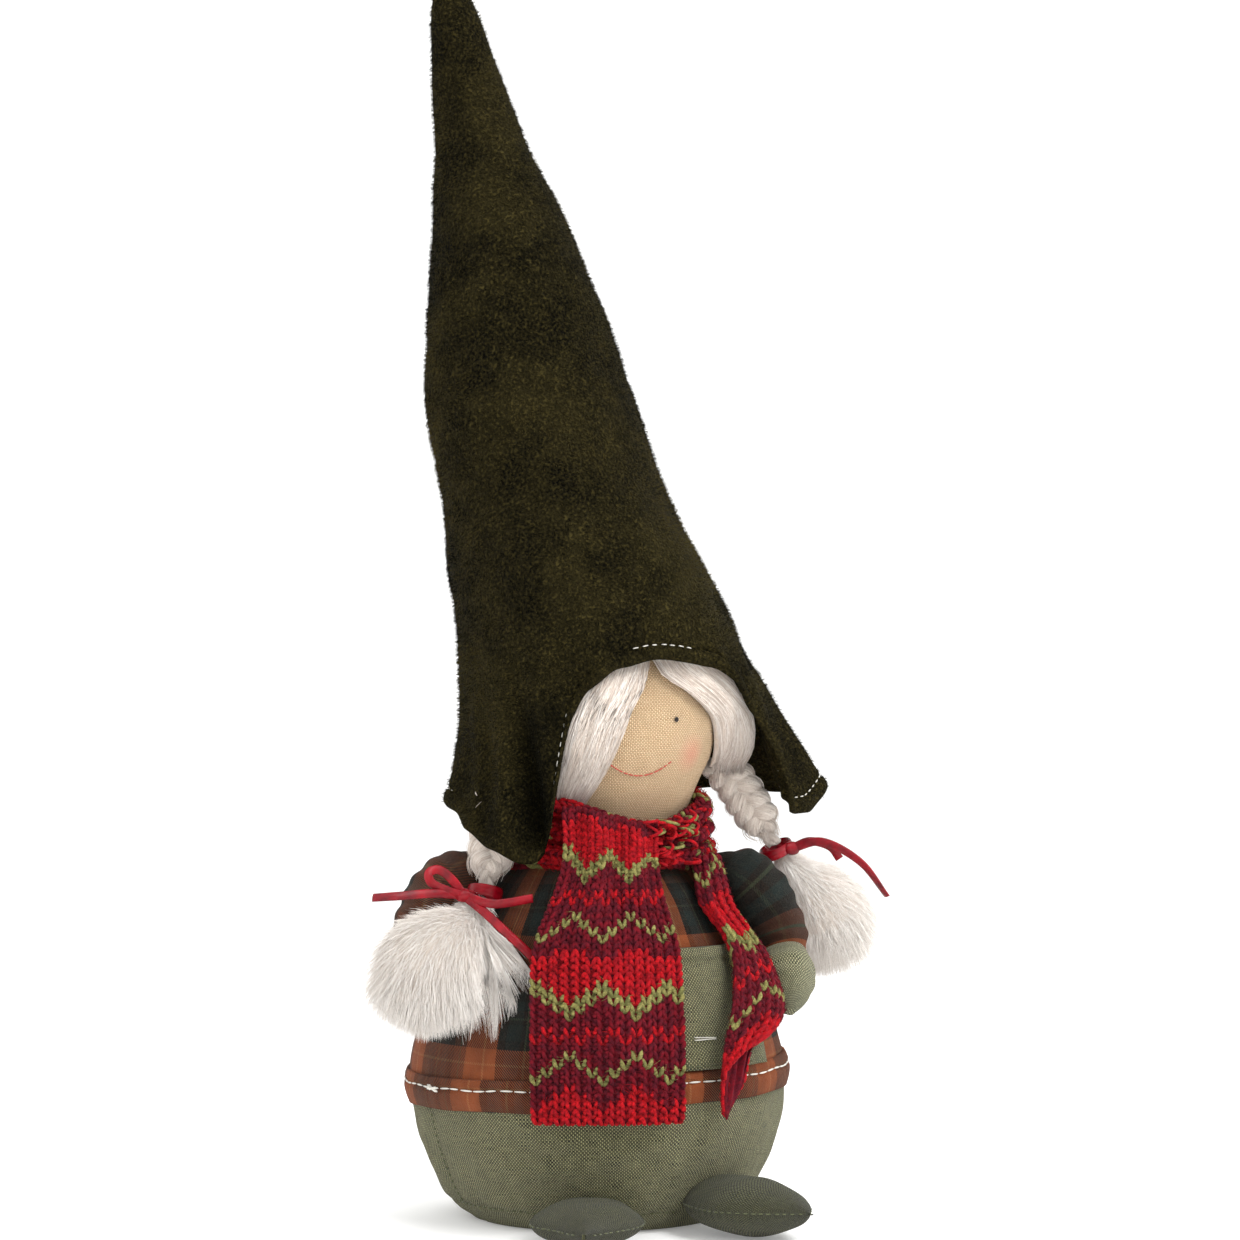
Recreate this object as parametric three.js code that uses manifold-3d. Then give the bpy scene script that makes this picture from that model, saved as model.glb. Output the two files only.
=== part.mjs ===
// A standing cloth gnome: a stuffed pear-shaped body in a linen lower cover and a plaid coat, a linen
// head with wool hair and two tied braids, a knitted scarf, stuffed arms and feet, and a tall plush hat.
// Millimetres, +Z up. The gnome faces -Y, and its own left side is +X. The origin is the middle of the
// flat base. An azimuth is an angle in degrees about the Z axis: 0 faces -Y and +90 faces +X.

import * as THREE from 'three';
import Module from 'manifold-3d';
import { mergeVertices } from 'three/addons/utils/BufferGeometryUtils.js';

const wasm = await Module();
wasm.setup();

// ---- driving dimensions ----
const GAP = 0.4;              // between neighbouring pieces
const SIDES = 24;             // around a turned piece
const FINE = 4;               // around a thread
const HAT_SIDES = 32;         // around the hat

const LINEN = 1.2;            // cloth thicknesses
const FLANNEL = 1.6;
const PLUSH = 2.4;
const KNIT = 2.6;
const THREAD = 0.45;          // radius of a sewing thread

const BASE_RADIUS = 50;
const CARD = 1.8;             // thickness of the base card
const WEIGHT_RADIUS = 44;
const WEIGHT_TOP = 24;
const WAIST = 56;             // the lower cover ends here and the coat begins
const NECK = 149;             // the coat ends here
const HEAD_BASE = 152;
const HEAD_TOP = 246;
const HEAD_AT = [4, -3];      // the head leans a little forward and to the gnome's left
const WRAP_AT = [2, -1.5];    // centre of the scarf's turn round the neck

// Body outline as [radius, z], from the edge of the base up to the neck.
const BODY_OUTLINE = [
  [BASE_RADIUS, 0], [60, 9], [67, 23], [72.5, 39], [75, 57], [71, 78],
  [62, 103], [49, 126], [37, 140], [29, NECK],
];

// Head outline as [radius, z], from the neck opening to the crown.
const HEAD_OUTLINE = [
  [26, HEAD_BASE], [35.5, 171], [41, 184], [42.5, 198], [40.5, 214], [32, 232], [17, 243], [0, HEAD_TOP],
];

const HEM = { low: 50, high: 62.5, thick: 1.8, stitch: 58.5 };
const POCKET = { low: 64.5, high: 110, edge: 37 };    // edge is the azimuth of its two side seams

const FOOT = { splay: { left: 21, right: 26 }, centre: 83, length: 66, width: 44, height: 23 };

const ARM_HALF = 12.5;                 // half the width of a sleeve
const ARM_FLAT = 0.8;         // how much flatter an arm is against the body
const CUFF = 0.62;            // share of the arm's length that is sleeve

// The hat's cone as [z, lean, radius]. The lean is towards HAT_LEAN_AZIMUTH.
const HAT_LEAN_AZIMUTH = -114;
const HAT_STATIONS = [
  [235, 0, 55.5], [265, 10, 51], [292, 19, 45.5], [320, 25.5, 43.5], [355, 32, 36.5],
  [390, 37.5, 29.5], [425, 46.5, 19.5], [465, 54.5, 11.6], [482, 57.5, 9.4], [491, 59, 5.5],
];
const HAT_SKIRT_SHARE = 0.36; // share of the hat's rows between the rim and the cone
const HAT_TIP = 494;

// The hat's rim as [azimuth, z, radius from the head's axis, flare]. A flare above 1 turns out late.
const HAT_RIM = [
  [-180, 172, 62, 1.6], [-130, 167, 63, 3], [-95, 164, 67, 4], [-80, 156, 67, 4],
  [-70, 149, 65, 3], [-56, 143, 61, 2], [-46, 156, 58, 1.4], [-41, 198, 55, 1.1],
  [-32, 211, 53, 1], [-20, 219, 51, 1], [0, 222, 50, 1], [24, 220, 55, 1],
  [40, 212, 60, 1], [50, 202, 64, 1], [58, 184, 68, 1], [68, 160, 73, 1.1], [77, 161, 85, 1.1], [86, 169, 95, 1.1],
  [130, 168, 71, 1.5], [180, 172, 62, 1.6],
];

const BRAID_HALF = 8.5;
const TIE_HALF = 5.5;         // where the ribbon pulls the braid in
const RIBBON = { width: 4.5, thick: 0.6 };

// ---- small helpers ----
const radians = THREE.MathUtils.degToRad;
const degrees = THREE.MathUtils.radToDeg;
const lerp = THREE.MathUtils.lerp;

/** The point at a radius and azimuth about a centre, at height z. */
function polar(radius, azimuth, z, centre = [0, 0]) {
  const a = radians(azimuth);
  return new THREE.Vector3(centre[0] + radius * Math.sin(a), centre[1] - radius * Math.cos(a), z);
}

/** A row of numbers read from a table of rows by its first column, between the two nearest rows. */
function between(table, key, ease = (share) => share) {
  const after = table.findIndex((row) => row[0] >= key);
  if (after <= 0) return after === 0 ? table[0] : table[table.length - 1];
  const [low, high] = [table[after - 1], table[after]];
  const share = ease((key - low[0]) / (high[0] - low[0]));
  return low.map((value, column) => lerp(value, high[column], share));
}

const easeInOut = (share) => THREE.MathUtils.smoothstep(share, 0, 1);

/** Points along a smooth outline of [radius, z] pairs. */
function smooth(outline, steps) {
  const curve = new THREE.SplineCurve(outline.map(([radius, z]) => new THREE.Vector2(radius, z)));
  return curve.getPoints(steps);
}

const bodyPoints = smooth(BODY_OUTLINE, 90);
const headPoints = smooth(HEAD_OUTLINE, 90);

/** The radius of a smooth outline at height z. */
function radiusAt(points, z) {
  const after = Math.max(1, points.findIndex((p) => p.y >= z));
  const [low, high] = [points[after - 1], points[after]];
  return lerp(low.x, high.x, (z - low.y) / (high.y - low.y));
}

const bodyRadius = (z) => radiusAt(bodyPoints, z);
const headRadius = (z) => radiusAt(headPoints, z);

/** The outline between two heights, moved out by a distance, as points for a turned piece. */
function offsetOutline(points, distance, from, to, rows) {
  const stretch = points.filter((p) => p.y >= from && p.y <= to);
  const moved = [];
  for (let i = 0; i <= rows; i += 1) {
    const here = Math.round((i / rows) * (stretch.length - 1));
    const [before, after] = [stretch[Math.max(0, here - 1)], stretch[Math.min(stretch.length - 1, here + 1)]];
    const along = after.clone().sub(before).normalize();
    const { x, y } = stretch[here];
    moved.push(new THREE.Vector2(Math.max(0, x + along.y * distance), y - along.x * distance));
  }
  moved[0].y = Math.max(moved[0].y, from);
  return moved;
}

/** A solid turned about the Z axis from points of [radius, z], listed anticlockwise. */
function turned(points, centre = [0, 0], sides = SIDES) {
  const profile = points.map((p) => (p.isVector2 ? p : new THREE.Vector2(p[0], p[1])));
  const shape = new THREE.LatheGeometry(profile, sides);
  return shape.rotateX(Math.PI / 2).translate(centre[0], centre[1], 0);
}

/** A turned cloth skin between two distances from an outline, open at both ends. */
function skin(points, inside, outside, from, to, rows, centre) {
  const inner = offsetOutline(points, inside, from, to, rows).reverse();
  const outer = offsetOutline(points, outside, from, to, rows);
  return turned([...inner, ...outer, inner[0]], centre);
}

/** A turned skin over the crown of the head, open below. */
function domeSkin(inside, outside, from, rows) {
  const dome = (distance) => {
    const side = offsetOutline(headPoints, distance, from, HEAD_TOP - 1, rows);
    return [...side, new THREE.Vector2(0, HEAD_TOP + distance)];
  };
  return turned([...dome(inside).reverse(), ...dome(outside)], HEAD_AT);
}

/** A turned profile of [half width, share of the length] bent along a curve through the points. */
function bent(profile, points, { rows = 12, sides = 14, flat = 1, towards = new THREE.Vector3(0, 0, 1) } = {}) {
  const outline = smooth(profile, rows).map((p) => new THREE.Vector2(Math.max(0, p.x), p.y));
  outline[0].x = 0;
  outline[outline.length - 1].x = 0;
  const shape = new THREE.LatheGeometry(outline, sides);
  const curve = new THREE.CatmullRomCurve3(points);
  const position = shape.attributes.position;
  for (let i = 0; i < position.count; i += 1) {
    const share = THREE.MathUtils.clamp(position.getY(i), 0, 1);
    const tangent = curve.getTangentAt(share);
    const across = towards.clone().addScaledVector(tangent, -towards.dot(tangent)).normalize();
    const sideways = across.clone().cross(tangent);
    const place = curve.getPointAt(share)
      .addScaledVector(across, position.getX(i) * flat)
      .addScaledVector(sideways, position.getZ(i));
    position.setXYZ(i, place.x, place.y, place.z);
  }
  return shape;
}

/** A slab of cloth wrapped about a vertical axis, over a surface of the given radius at each height.
 * Its rows, from the bottom up, are [z, azimuth of its middle, half width, stand-off, thickness]. */
function wrapped(rows, { surface = () => 0, centre = [0, 0], across = 8, up = 12 } = {}) {
  const slab = new THREE.BoxGeometry(2, 1, 1, across, up, 1);
  const position = slab.attributes.position;
  for (let i = 0; i < position.count; i += 1) {
    const z = lerp(rows[0][0], rows[rows.length - 1][0], position.getY(i) + 0.5);
    const [, azimuth, half, standOff, thick] = between(rows, z);
    const inner = surface(z) + standOff;
    const turn = degrees((position.getX(i) * half) / inner);
    const place = polar(inner + (position.getZ(i) + 0.5) * thick, azimuth + turn, z, centre);
    position.setXYZ(i, place.x, place.y, place.z);
  }
  return slab;
}

/** A flat band of the given width along a curve, with its face turned towards a direction. */
function band(points, width, thick, face, steps = 12) {
  const strip = new THREE.BoxGeometry(width, 1, thick, 1, steps, 1);
  const curve = new THREE.CatmullRomCurve3(points);
  const position = strip.attributes.position;
  for (let i = 0; i < position.count; i += 1) {
    const share = THREE.MathUtils.clamp(position.getY(i) + 0.5, 0, 1);
    const tangent = curve.getTangentAt(share);
    const outward = face.clone().addScaledVector(tangent, -face.dot(tangent)).normalize();
    const across = tangent.clone().cross(outward);
    const place = curve.getPointAt(share)
      .addScaledVector(across, position.getX(i))
      .addScaledVector(outward, position.getZ(i));
    position.setXYZ(i, place.x, place.y, place.z);
  }
  return strip;
}

/** A round thread along a curve through the points. */
function thread(points, radius, steps) {
  const section = new THREE.Shape();
  section.absarc(0, 0, radius, 0, 2 * Math.PI, false);
  const path = new THREE.CatmullRomCurve3(points);
  return new THREE.ExtrudeGeometry(section, { extrudePath: path, steps, curveSegments: FINE / 2 });
}

/** A closed geometry as a manifold solid. */
function solid(geometry) {
  const bare = geometry.clone();
  bare.deleteAttribute('normal');
  bare.deleteAttribute('uv');
  const merged = mergeVertices(bare, 1e-4);
  return new wasm.Manifold(new wasm.Mesh({
    numProp: 3,
    vertProperties: new Float32Array(merged.attributes.position.array),
    triVerts: new Uint32Array(merged.index.array),
  }));
}

/** A manifold solid as a geometry. */
function geometryOf(manifold) {
  const mesh = manifold.getMesh();
  const geometry = new THREE.BufferGeometry();
  geometry.setAttribute('position', new THREE.BufferAttribute(mesh.vertProperties, 3));
  geometry.setIndex(new THREE.BufferAttribute(mesh.triVerts, 1));
  geometry.computeVertexNormals();
  return geometry;
}

const joined = (...shapes) => geometryOf(shapes.map(solid).reduce((all, next) => all.add(next)));
const cut = (shape, tool) => geometryOf(solid(shape).subtract(solid(tool)));

// ---- the assembly ----
const gnome = new THREE.Group();

const FINISHES = {
  linen: { color: '#6f7152', roughness: 0.95 },
  flannel: { color: '#6f4028', roughness: 1 },
  plush: { color: '#3a3220', roughness: 1 },
  face: { color: '#dcbe99', roughness: 0.95 },
  wool: { color: '#e2dad2', roughness: 1 },
  knit: { color: '#8c1422', roughness: 0.95 },
  satin: { color: '#9c0f27', roughness: 0.35 },
  thread: { color: '#e8e4da', roughness: 0.8 },
  smile: { color: '#cf5a4a', roughness: 0.8 },
  eye: { color: '#1c1714', roughness: 0.6 },
  stuffing: { color: '#f2f0ea', roughness: 1 },
  card: { color: '#b59a74', roughness: 0.95 },
  sand: { color: '#c9b88e', roughness: 1 },
};

function addPiece(name, geometry, finish) {
  const material = new THREE.MeshStandardMaterial({ metalness: 0, ...FINISHES[finish] });
  const mesh = new THREE.Mesh(geometry, material);
  mesh.name = name;
  gnome.add(mesh);
}

function addBase() {
  const inner = BASE_RADIUS - LINEN - GAP;
  const coverTop = LINEN;
  const cardTop = coverTop + GAP + CARD;
  addPiece('base_cover', turned([[0, 0], [inner, 0], [inner, coverTop], [0, coverTop]]), 'linen');
  addPiece('base_card', turned([[0, coverTop + GAP], [inner - 1, coverTop + GAP], [inner - 1, cardTop], [0, cardTop]]), 'card');
  const low = cardTop + GAP;
  const shoulder = 4;
  const bag = [
    [0, low], [WEIGHT_RADIUS - shoulder, low], [WEIGHT_RADIUS, low + shoulder],
    [WEIGHT_RADIUS, WEIGHT_TOP - shoulder], [WEIGHT_RADIUS - shoulder, WEIGHT_TOP], [0, WEIGHT_TOP],
  ];
  addPiece('weight_bag', turned(bag), 'sand');
}

function addBody() {
  const depth = FLANNEL + GAP;
  const low = LINEN + CARD + 3 * GAP;
  const outer = offsetOutline(bodyPoints, -depth, low, NECK - GAP, 12);
  const hollow = [[WEIGHT_RADIUS + GAP, low], [WEIGHT_RADIUS + GAP, WEIGHT_TOP + GAP], [0, WEIGHT_TOP + GAP]];
  const filling = [[0, outer[outer.length - 1].y], ...hollow.reverse()];
  addPiece('body_stuffing', turned([...hollow, ...outer, filling[0]]), 'stuffing');
  addPiece('lower_cover', skin(bodyPoints, -LINEN, 0, 0, WAIST, 7), 'linen');
  addPiece('coat_cover', skin(bodyPoints, -FLANNEL, 0, WAIST + GAP, NECK, 9), 'flannel');
  addPiece('hem_band', skin(bodyPoints, GAP, GAP + HEM.thick, HEM.low, HEM.high, 4), 'flannel');
  addPiece('hem_topstitch', hemStitch(), 'thread');
}

/** The running stitch round the coat's hem, as one ring of thread. */
function hemStitch() {
  const radius = bodyRadius(HEM.stitch) + HEM.thick + 2 * GAP + THREAD;
  const ring = [];
  for (let i = 0; i <= FINE; i += 1) {
    const angle = (2 * Math.PI * i) / FINE;
    ring.push([radius + THREAD * Math.cos(angle), HEM.stitch + THREAD * Math.sin(angle)]);
  }
  ring[FINE] = ring[0];
  return turned(ring);
}

function addPocket() {
  const edge = (z) => [z, 0, bodyRadius(z) * radians(POCKET.edge), 1.5 * GAP, 1.5 * LINEN];
  const shape = { surface: bodyRadius, across: 12, up: 8 };
  addPiece('front_pocket', wrapped([edge(POCKET.low), edge(POCKET.high)], shape), 'linen');
}

/** A leaf-shaped stuffed foot, hollowed at the heel to sit against the body. */
function foot(side) {
  const half = FOOT.length / 2;
  const leaf = [];
  const rows = 12;
  for (let i = 0; i <= rows; i += 1) {
    const share = -1 + (2 * i) / rows;
    leaf.push(new THREE.Vector2((FOOT.width / 2) * (1 - share * share), share * half));
  }
  const shape = new THREE.LatheGeometry(leaf, 20);
  shape.scale(1, 1, FOOT.height / FOOT.width);
  shape.rotateZ(Math.PI);
  shape.translate(0, -FOOT.centre, FOOT.height / 2 + GAP);
  shape.rotateZ(side * radians(side > 0 ? FOOT.splay.left : FOOT.splay.right));
  const heel = offsetOutline(bodyPoints, GAP, 0, WAIST, 8);
  const below = [0, -5];
  const tool = turned([below, [heel[0].x, below[1]], ...heel, [0, WAIST]]);
  return cut(shape, tool);
}

// An arm's middle line as [azimuth, radius, z] from the shoulder to the finger end.
const ARM_LINES = {
  left: [[66, 47, 142], [66, 60.5, 131], [65, 70.5, 117], [62, 75, 103], [56, 77, 92], [50, 79.5, 82]],
  right: [[-97, 47, 142], [-97, 60.5, 131], [-97, 70.5, 117], [-97, 75.5, 103], [-97, 79, 90], [-97, 81, 80]],
};

function addArm(name, line) {
  const points = line.map(([azimuth, radius, z]) => polar(radius, azimuth, z));
  const curve = new THREE.CatmullRomCurve3(points);
  const middle = line[2][0];
  const towards = polar(1, middle, 0);
  const stretch = (from, to) => [0, 0.25, 0.5, 0.75, 1].map((share) => curve.getPointAt(lerp(from, to, share)));
  const wide = ARM_HALF;
  const sleeve = [[0, 0], [wide * 0.85, 0.14], [wide, 0.5], [wide * 1.02, 0.86], [wide * 0.9, 0.97], [0, 1]];
  const mitten = [[0, 0], [wide * 0.85, 0.06], [wide, 0.3], [wide * 0.86, 0.7], [0, 1]];
  const seam = (2 * GAP) / curve.getLength();
  const shape = { rows: 10, sides: 14, flat: ARM_FLAT, towards };
  addPiece(`sleeve_${name}`, bent(sleeve, stretch(0, CUFF), shape), 'flannel');
  addPiece(`mitten_${name}`, bent(mitten, stretch(CUFF + seam, 1), shape), 'linen');
}

function addHead() {
  addPiece('head_cover', domeSkin(-LINEN, 0, HEAD_BASE, 8), 'face');
  const inside = offsetOutline(headPoints, -LINEN - GAP, HEAD_BASE, HEAD_TOP - 1, 8);
  const crown = HEAD_TOP - LINEN - GAP;
  addPiece('head_stuffing', turned([[0, inside[0].y], ...inside, [0, crown]], HEAD_AT), 'stuffing');
}

const EYE_HALF = 1.1;
const FACE = { azimuth: -6, eyeHeight: 198, eyeTurn: 20, smileHeight: 176, smileRise: 6, smileTurn: 20 };

function addFace() {
  const onFace = (azimuth, z, proud) => polar(headRadius(z) + proud, azimuth, z, HEAD_AT);
  for (const [name, side] of [['left', 1], ['right', -1]]) {
    const azimuth = FACE.azimuth + side * FACE.eyeTurn;
    const place = onFace(azimuth, FACE.eyeHeight, GAP + EYE_HALF / 2);
    const knot = new THREE.SphereGeometry(EYE_HALF, 10, 8).scale(1, 0.5, 1).rotateZ(radians(azimuth));
    addPiece(`eye_${name}`, knot.translate(place.x, place.y, place.z), 'eye');
  }
  const smile = [-1, -0.5, 0, 0.5, 1].map((share) => {
    const z = FACE.smileHeight + FACE.smileRise * share * share;
    return onFace(FACE.azimuth + share * FACE.smileTurn, z, THREAD + GAP + 0.2);
  });
  addPiece('smile_thread', thread(smile, THREAD, 14), 'smile');
}

// A hair lock's rows from the bottom up: [z, azimuth of its middle, half width, stand-off, thickness].
const LOCKS = {
  left: [[184, 72, 24, 1.8, 6], [196, 64, 28, 1.8, 6], [208, 58, 34, 1.8, 5], [220, 50, 32, 1.8, 4]],
  right: [[168, -88, 20, 1.8, 3.5], [184, -72, 33, 1.8, 5.5], [200, -66, 38, 1.8, 5.5], [220, -56, 35, 1.8, 4]],
};

function addHair() {
  addPiece('hair_cap', domeSkin(GAP, GAP + 2.4, 224, 5), 'wool');
  const shape = { surface: headRadius, centre: HEAD_AT, across: 10, up: 8 };
  for (const [name, rows] of Object.entries(LOCKS)) {
    addPiece(`hair_lock_${name}`, wrapped(rows, shape), 'wool');
  }
}

// Each braid's middle line, then its fur tail's, from the top down.
const BRAIDS = {
  left: {
    plait: [[50, -8, 181], [58, -9, 170], [68, -9.5, 155], [74, -10, 146]],
    tail: [[76.5, -10, 141], [84, -8, 134], [97, -3, 118], [101, 0, 96]],
    fluff: 23,
  },
  right: {
    plait: [[-48, -10, 167], [-50, -12, 156], [-51.5, -13.5, 144], [-54, -15.5, 133]],
    tail: [[-55.5, -16.5, 127.5], [-63, -19.5, 120], [-81, -27, 105], [-87, -30, 81]],
    fluff: 22.5,
  },
};

const asPoints = (list) => list.map((p) => new THREE.Vector3(...p));

function addBraid(name, { plait, tail, fluff }) {
  const top = BRAID_HALF;
  const body = [[0, 0], [top * 0.8, 0.08], [top, 0.4], [top * 0.92, 0.75], [TIE_HALF, 0.97], [0, 1]];
  addPiece(`braid_${name}`, bent(body, asPoints(plait), { rows: 14, sides: 12, towards: new THREE.Vector3(1, 0, 0) }), 'wool');
  const puff = [[0, 0], [TIE_HALF, 0.05], [fluff * 0.45, 0.2], [fluff, 0.6], [fluff * 0.8, 0.86], [0, 1]];
  addPiece(`tuft_${name}`, bent(puff, asPoints(tail), { rows: 14, sides: 16, towards: new THREE.Vector3(1, 0, 0) }), 'wool');
}

// Each bow sits on its braid's tie and faces BOW_AZIMUTH. Its knot and the points of its loops and tails
// are [sideways, outwards, up], the points measured from the knot.
const BOW_AZIMUTH = -24;
const BOWS = {
  left: {
    knot: [6, 5, 1],
    bands: [
      [[0, 0, 0], [7, 3, 3], [15, 4, 1], [19, 4, -4]],
      [[0, 0, 0], [12, 7, 3], [27, 9, -5], [38, 6, -19]],
    ],
  },
  right: {
    knot: [-2, 10, 1],
    bands: [
      [[0, 0, 0], [-12, 5, 9], [-22, 6, 13], [-23, 5, 8], [-10, 3, 3]],
      [[0, 0, 0], [-14, 5, 4], [-28, 4, 4], [-41, 0, 3]],
      [[0, 0, 0], [9, 3, -1], [17, 3, -2]],
      [[0, 0, 0], [5, 5, -5], [10, 8, -11], [15, 9, -18]],
    ],
  },
};

/** A satin ribbon: a turn round the braid's tie, a knot, and the bow's loops and tails. */
function ribbon(name) {
  const { knot, bands } = BOWS[name];
  const { plait, tail } = BRAIDS[name];
  const [above, below] = [new THREE.Vector3(...plait[plait.length - 1]), new THREE.Vector3(...tail[0])];
  const tie = above.clone().add(below).multiplyScalar(0.5);
  const along = below.clone().sub(above).normalize();
  const ring = new THREE.CylinderGeometry(TIE_HALF + 1.5, TIE_HALF + 1.5, 1.6, 16);
  ring.applyQuaternion(new THREE.Quaternion().setFromUnitVectors(new THREE.Vector3(0, 1, 0), along));
  ring.translate(tie.x, tie.y, tie.z);
  const sideways = polar(1, BOW_AZIMUTH + 90, 0);
  const outwards = polar(1, BOW_AZIMUTH, 0);
  const place = ([right, out, up], from) => from.clone()
    .addScaledVector(sideways, right).addScaledVector(outwards, out).add(new THREE.Vector3(0, 0, up));
  const middle = place(knot, tie);
  const bow = new THREE.SphereGeometry(2.6, 10, 8).translate(middle.x, middle.y, middle.z);
  const tether = band([tie, tie.clone().lerp(middle, 0.5), middle], RIBBON.width / 2, 1.4, sideways, 2);
  const strips = bands.map((points) => {
    return band(points.map((p) => place(p, middle)), RIBBON.width, RIBBON.thick, outwards, 9);
  });
  return joined(ring, bow, tether, ...strips);
}

function addScarf() {
  const turn = [
    [39.3, 142], [41.2, 143], [42.5, 150], [42, 160], [39.5, 168], [38, 166.5], [34.4, 158], [34.8, 147], [39.3, 142],
  ];
  addPiece('scarf_wrap', turned(turn, WRAP_AT, 40), 'knit');
  const front = [
    [46, -20.5, 29, 81], [60, -20.5, 29.5, 81], [75, -20.5, 29.5, 78], [92, -20.5, 29.5, 72.5],
    [108, -20.5, 28, 65.5], [120, -20, 25, 58], [132, -19.5, 20, 51], [142, -19, 16, 46.5], [160, -19, 15, 45.6],
  ];
  addPiece('scarf_front_end', wrapped(front.map((row) => [...row, KNIT]), { across: 10, up: 18 }), 'knit');
  const side = [
    [49, 13, 4, 84, 4.5], [66, 15, 5, 84, 5], [74, 17, 6.5, 83.5, 5], [82, 23, 12.5, 82, 5], [90, 27, 13, 79, 5],
    [106, 33, 9.5, 69, 5], [115, 34.5, 7, 62, 5], [126, 33, 7, 54, 5], [136, 38, 7, 48.5, 5], [144, 42, 7, 45.8, 4],
  ];
  addPiece('scarf_side_end', wrapped(side, { across: 5, up: 22 }), 'knit');
}

/** Where the hat's cone stands at height z: its middle and its radius. */
function hatStation(z) {
  const [, lean, radius] = between(HAT_STATIONS, z);
  const middle = polar(lean, HAT_LEAN_AZIMUTH, z);
  return { middle, radius };
}

/** A point on the hat, from the rim at share 0 to the tip at share 1. */
function hatPoint(azimuth, share, inset) {
  const cone = HAT_STATIONS[0][0];
  if (share >= HAT_SKIRT_SHARE) {
    const z = lerp(cone, HAT_STATIONS[HAT_STATIONS.length - 1][0], (share - HAT_SKIRT_SHARE) / (1 - HAT_SKIRT_SHARE));
    const { middle, radius } = hatStation(z);
    return polar(Math.max(0.6, radius - inset), azimuth, z, [middle.x, middle.y]);
  }
  const down = 1 - share / HAT_SKIRT_SHARE;
  const [, rimZ, rimRadius, flare] = between(HAT_RIM, azimuth, easeInOut);
  const { middle, radius } = hatStation(cone);
  const centre = [lerp(middle.x, HEAD_AT[0], down), lerp(middle.y, HEAD_AT[1], down)];
  const wide = lerp(radius, rimRadius, down ** flare);
  return polar(wide - inset, azimuth, lerp(cone, rimZ, down), centre);
}

/** The hat: a leaning plush cone whose skirt flares into a wavy rim, open below. */
function hatShell() {
  const rows = 15;
  const layer = [];
  for (let i = 0; i <= rows; i += 1) {
    layer.push((i / rows) * 0.995);
  }
  const inside = 0.5;
  const outside = 1;
  const profile = [
    [0, 0.97], ...layer.filter((share) => share < 0.96).reverse().map((share) => [inside, share]),
    ...layer.map((share) => [outside, share]), [0, 1],
  ];
  const shape = new THREE.LatheGeometry(profile.map(([x, y]) => new THREE.Vector2(x, y)), HAT_SIDES);
  const position = shape.attributes.position;
  for (let i = 0; i < position.count; i += 1) {
    const [x, share, z] = [position.getX(i), position.getY(i), position.getZ(i)];
    const reach = Math.hypot(x, z);
    const inset = reach < (inside + outside) / 2 ? PLUSH : 0;
    const azimuth = degrees(Math.atan2(x, z));
    const place = reach < 0.1 ? hatTop(share) : hatPoint(azimuth, Math.min(share, 0.995), inset);
    position.setXYZ(i, place.x, place.y, place.z);
  }
  return shape;
}

/** The closing point on the hat's middle line, at the inside or outside of its tip. */
function hatTop(share) {
  const last = HAT_STATIONS[HAT_STATIONS.length - 1][0];
  const { middle } = hatStation(last);
  return new THREE.Vector3(middle.x, middle.y, share === 1 ? HAT_TIP : lerp(HAT_STATIONS[0][0], last, 0.96));
}

function addHat() {
  addPiece('hat_shell', hatShell(), 'plush');
  const low = 253;
  const high = 470;
  const steps = 9;
  const filling = new THREE.CylinderGeometry(1, 1, 1, SIDES, steps);
  filling.rotateX(Math.PI / 2);
  const position = filling.attributes.position;
  for (let i = 0; i < position.count; i += 1) {
    const z = lerp(low, high, position.getZ(i) + 0.5);
    const { middle, radius } = hatStation(z);
    const reach = radius - PLUSH - 10 * GAP;
    position.setXYZ(i, middle.x + position.getX(i) * reach, middle.y + position.getY(i) * reach, z);
  }
  addPiece('hat_stuffing', filling, 'stuffing');
  addPiece('brim_stitch', thread(brimLine(), THREAD, 90), 'thread');
}

/** The line of the running stitch a little above the hat's rim, open at the back. */
function brimLine() {
  const above = 0.05;
  const step = 360 / HAT_SIDES;
  const points = [];
  for (let azimuth = step - 180; azimuth < 180; azimuth += step) {
    points.push(hatPoint(azimuth, above, -(THREAD + 4 * GAP)));
  }
  return points;
}

addBase();
addBody();
addPocket();
addPiece('foot_left', foot(1), 'linen');
addPiece('foot_right', foot(-1), 'linen');
addArm('left', ARM_LINES.left);
addArm('right', ARM_LINES.right);
addHead();
addFace();
addHair();
addBraid('left', BRAIDS.left);
addBraid('right', BRAIDS.right);
addPiece('ribbon_left', ribbon('left'), 'satin');
addPiece('ribbon_right', ribbon('right'), 'satin');
addScarf();
addHat();

export default gnome;
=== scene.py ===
"""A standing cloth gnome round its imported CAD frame: plush hat, wool hair, knitted scarf, plaid coat, linen.

Tables are in millimetres, as in the CAD, and become metres where a mesh is made. The gnome faces -Y and its
own left side is +X. An azimuth is in degrees about the Z axis: 0 faces -Y and +90 faces +X.
"""
import math

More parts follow.
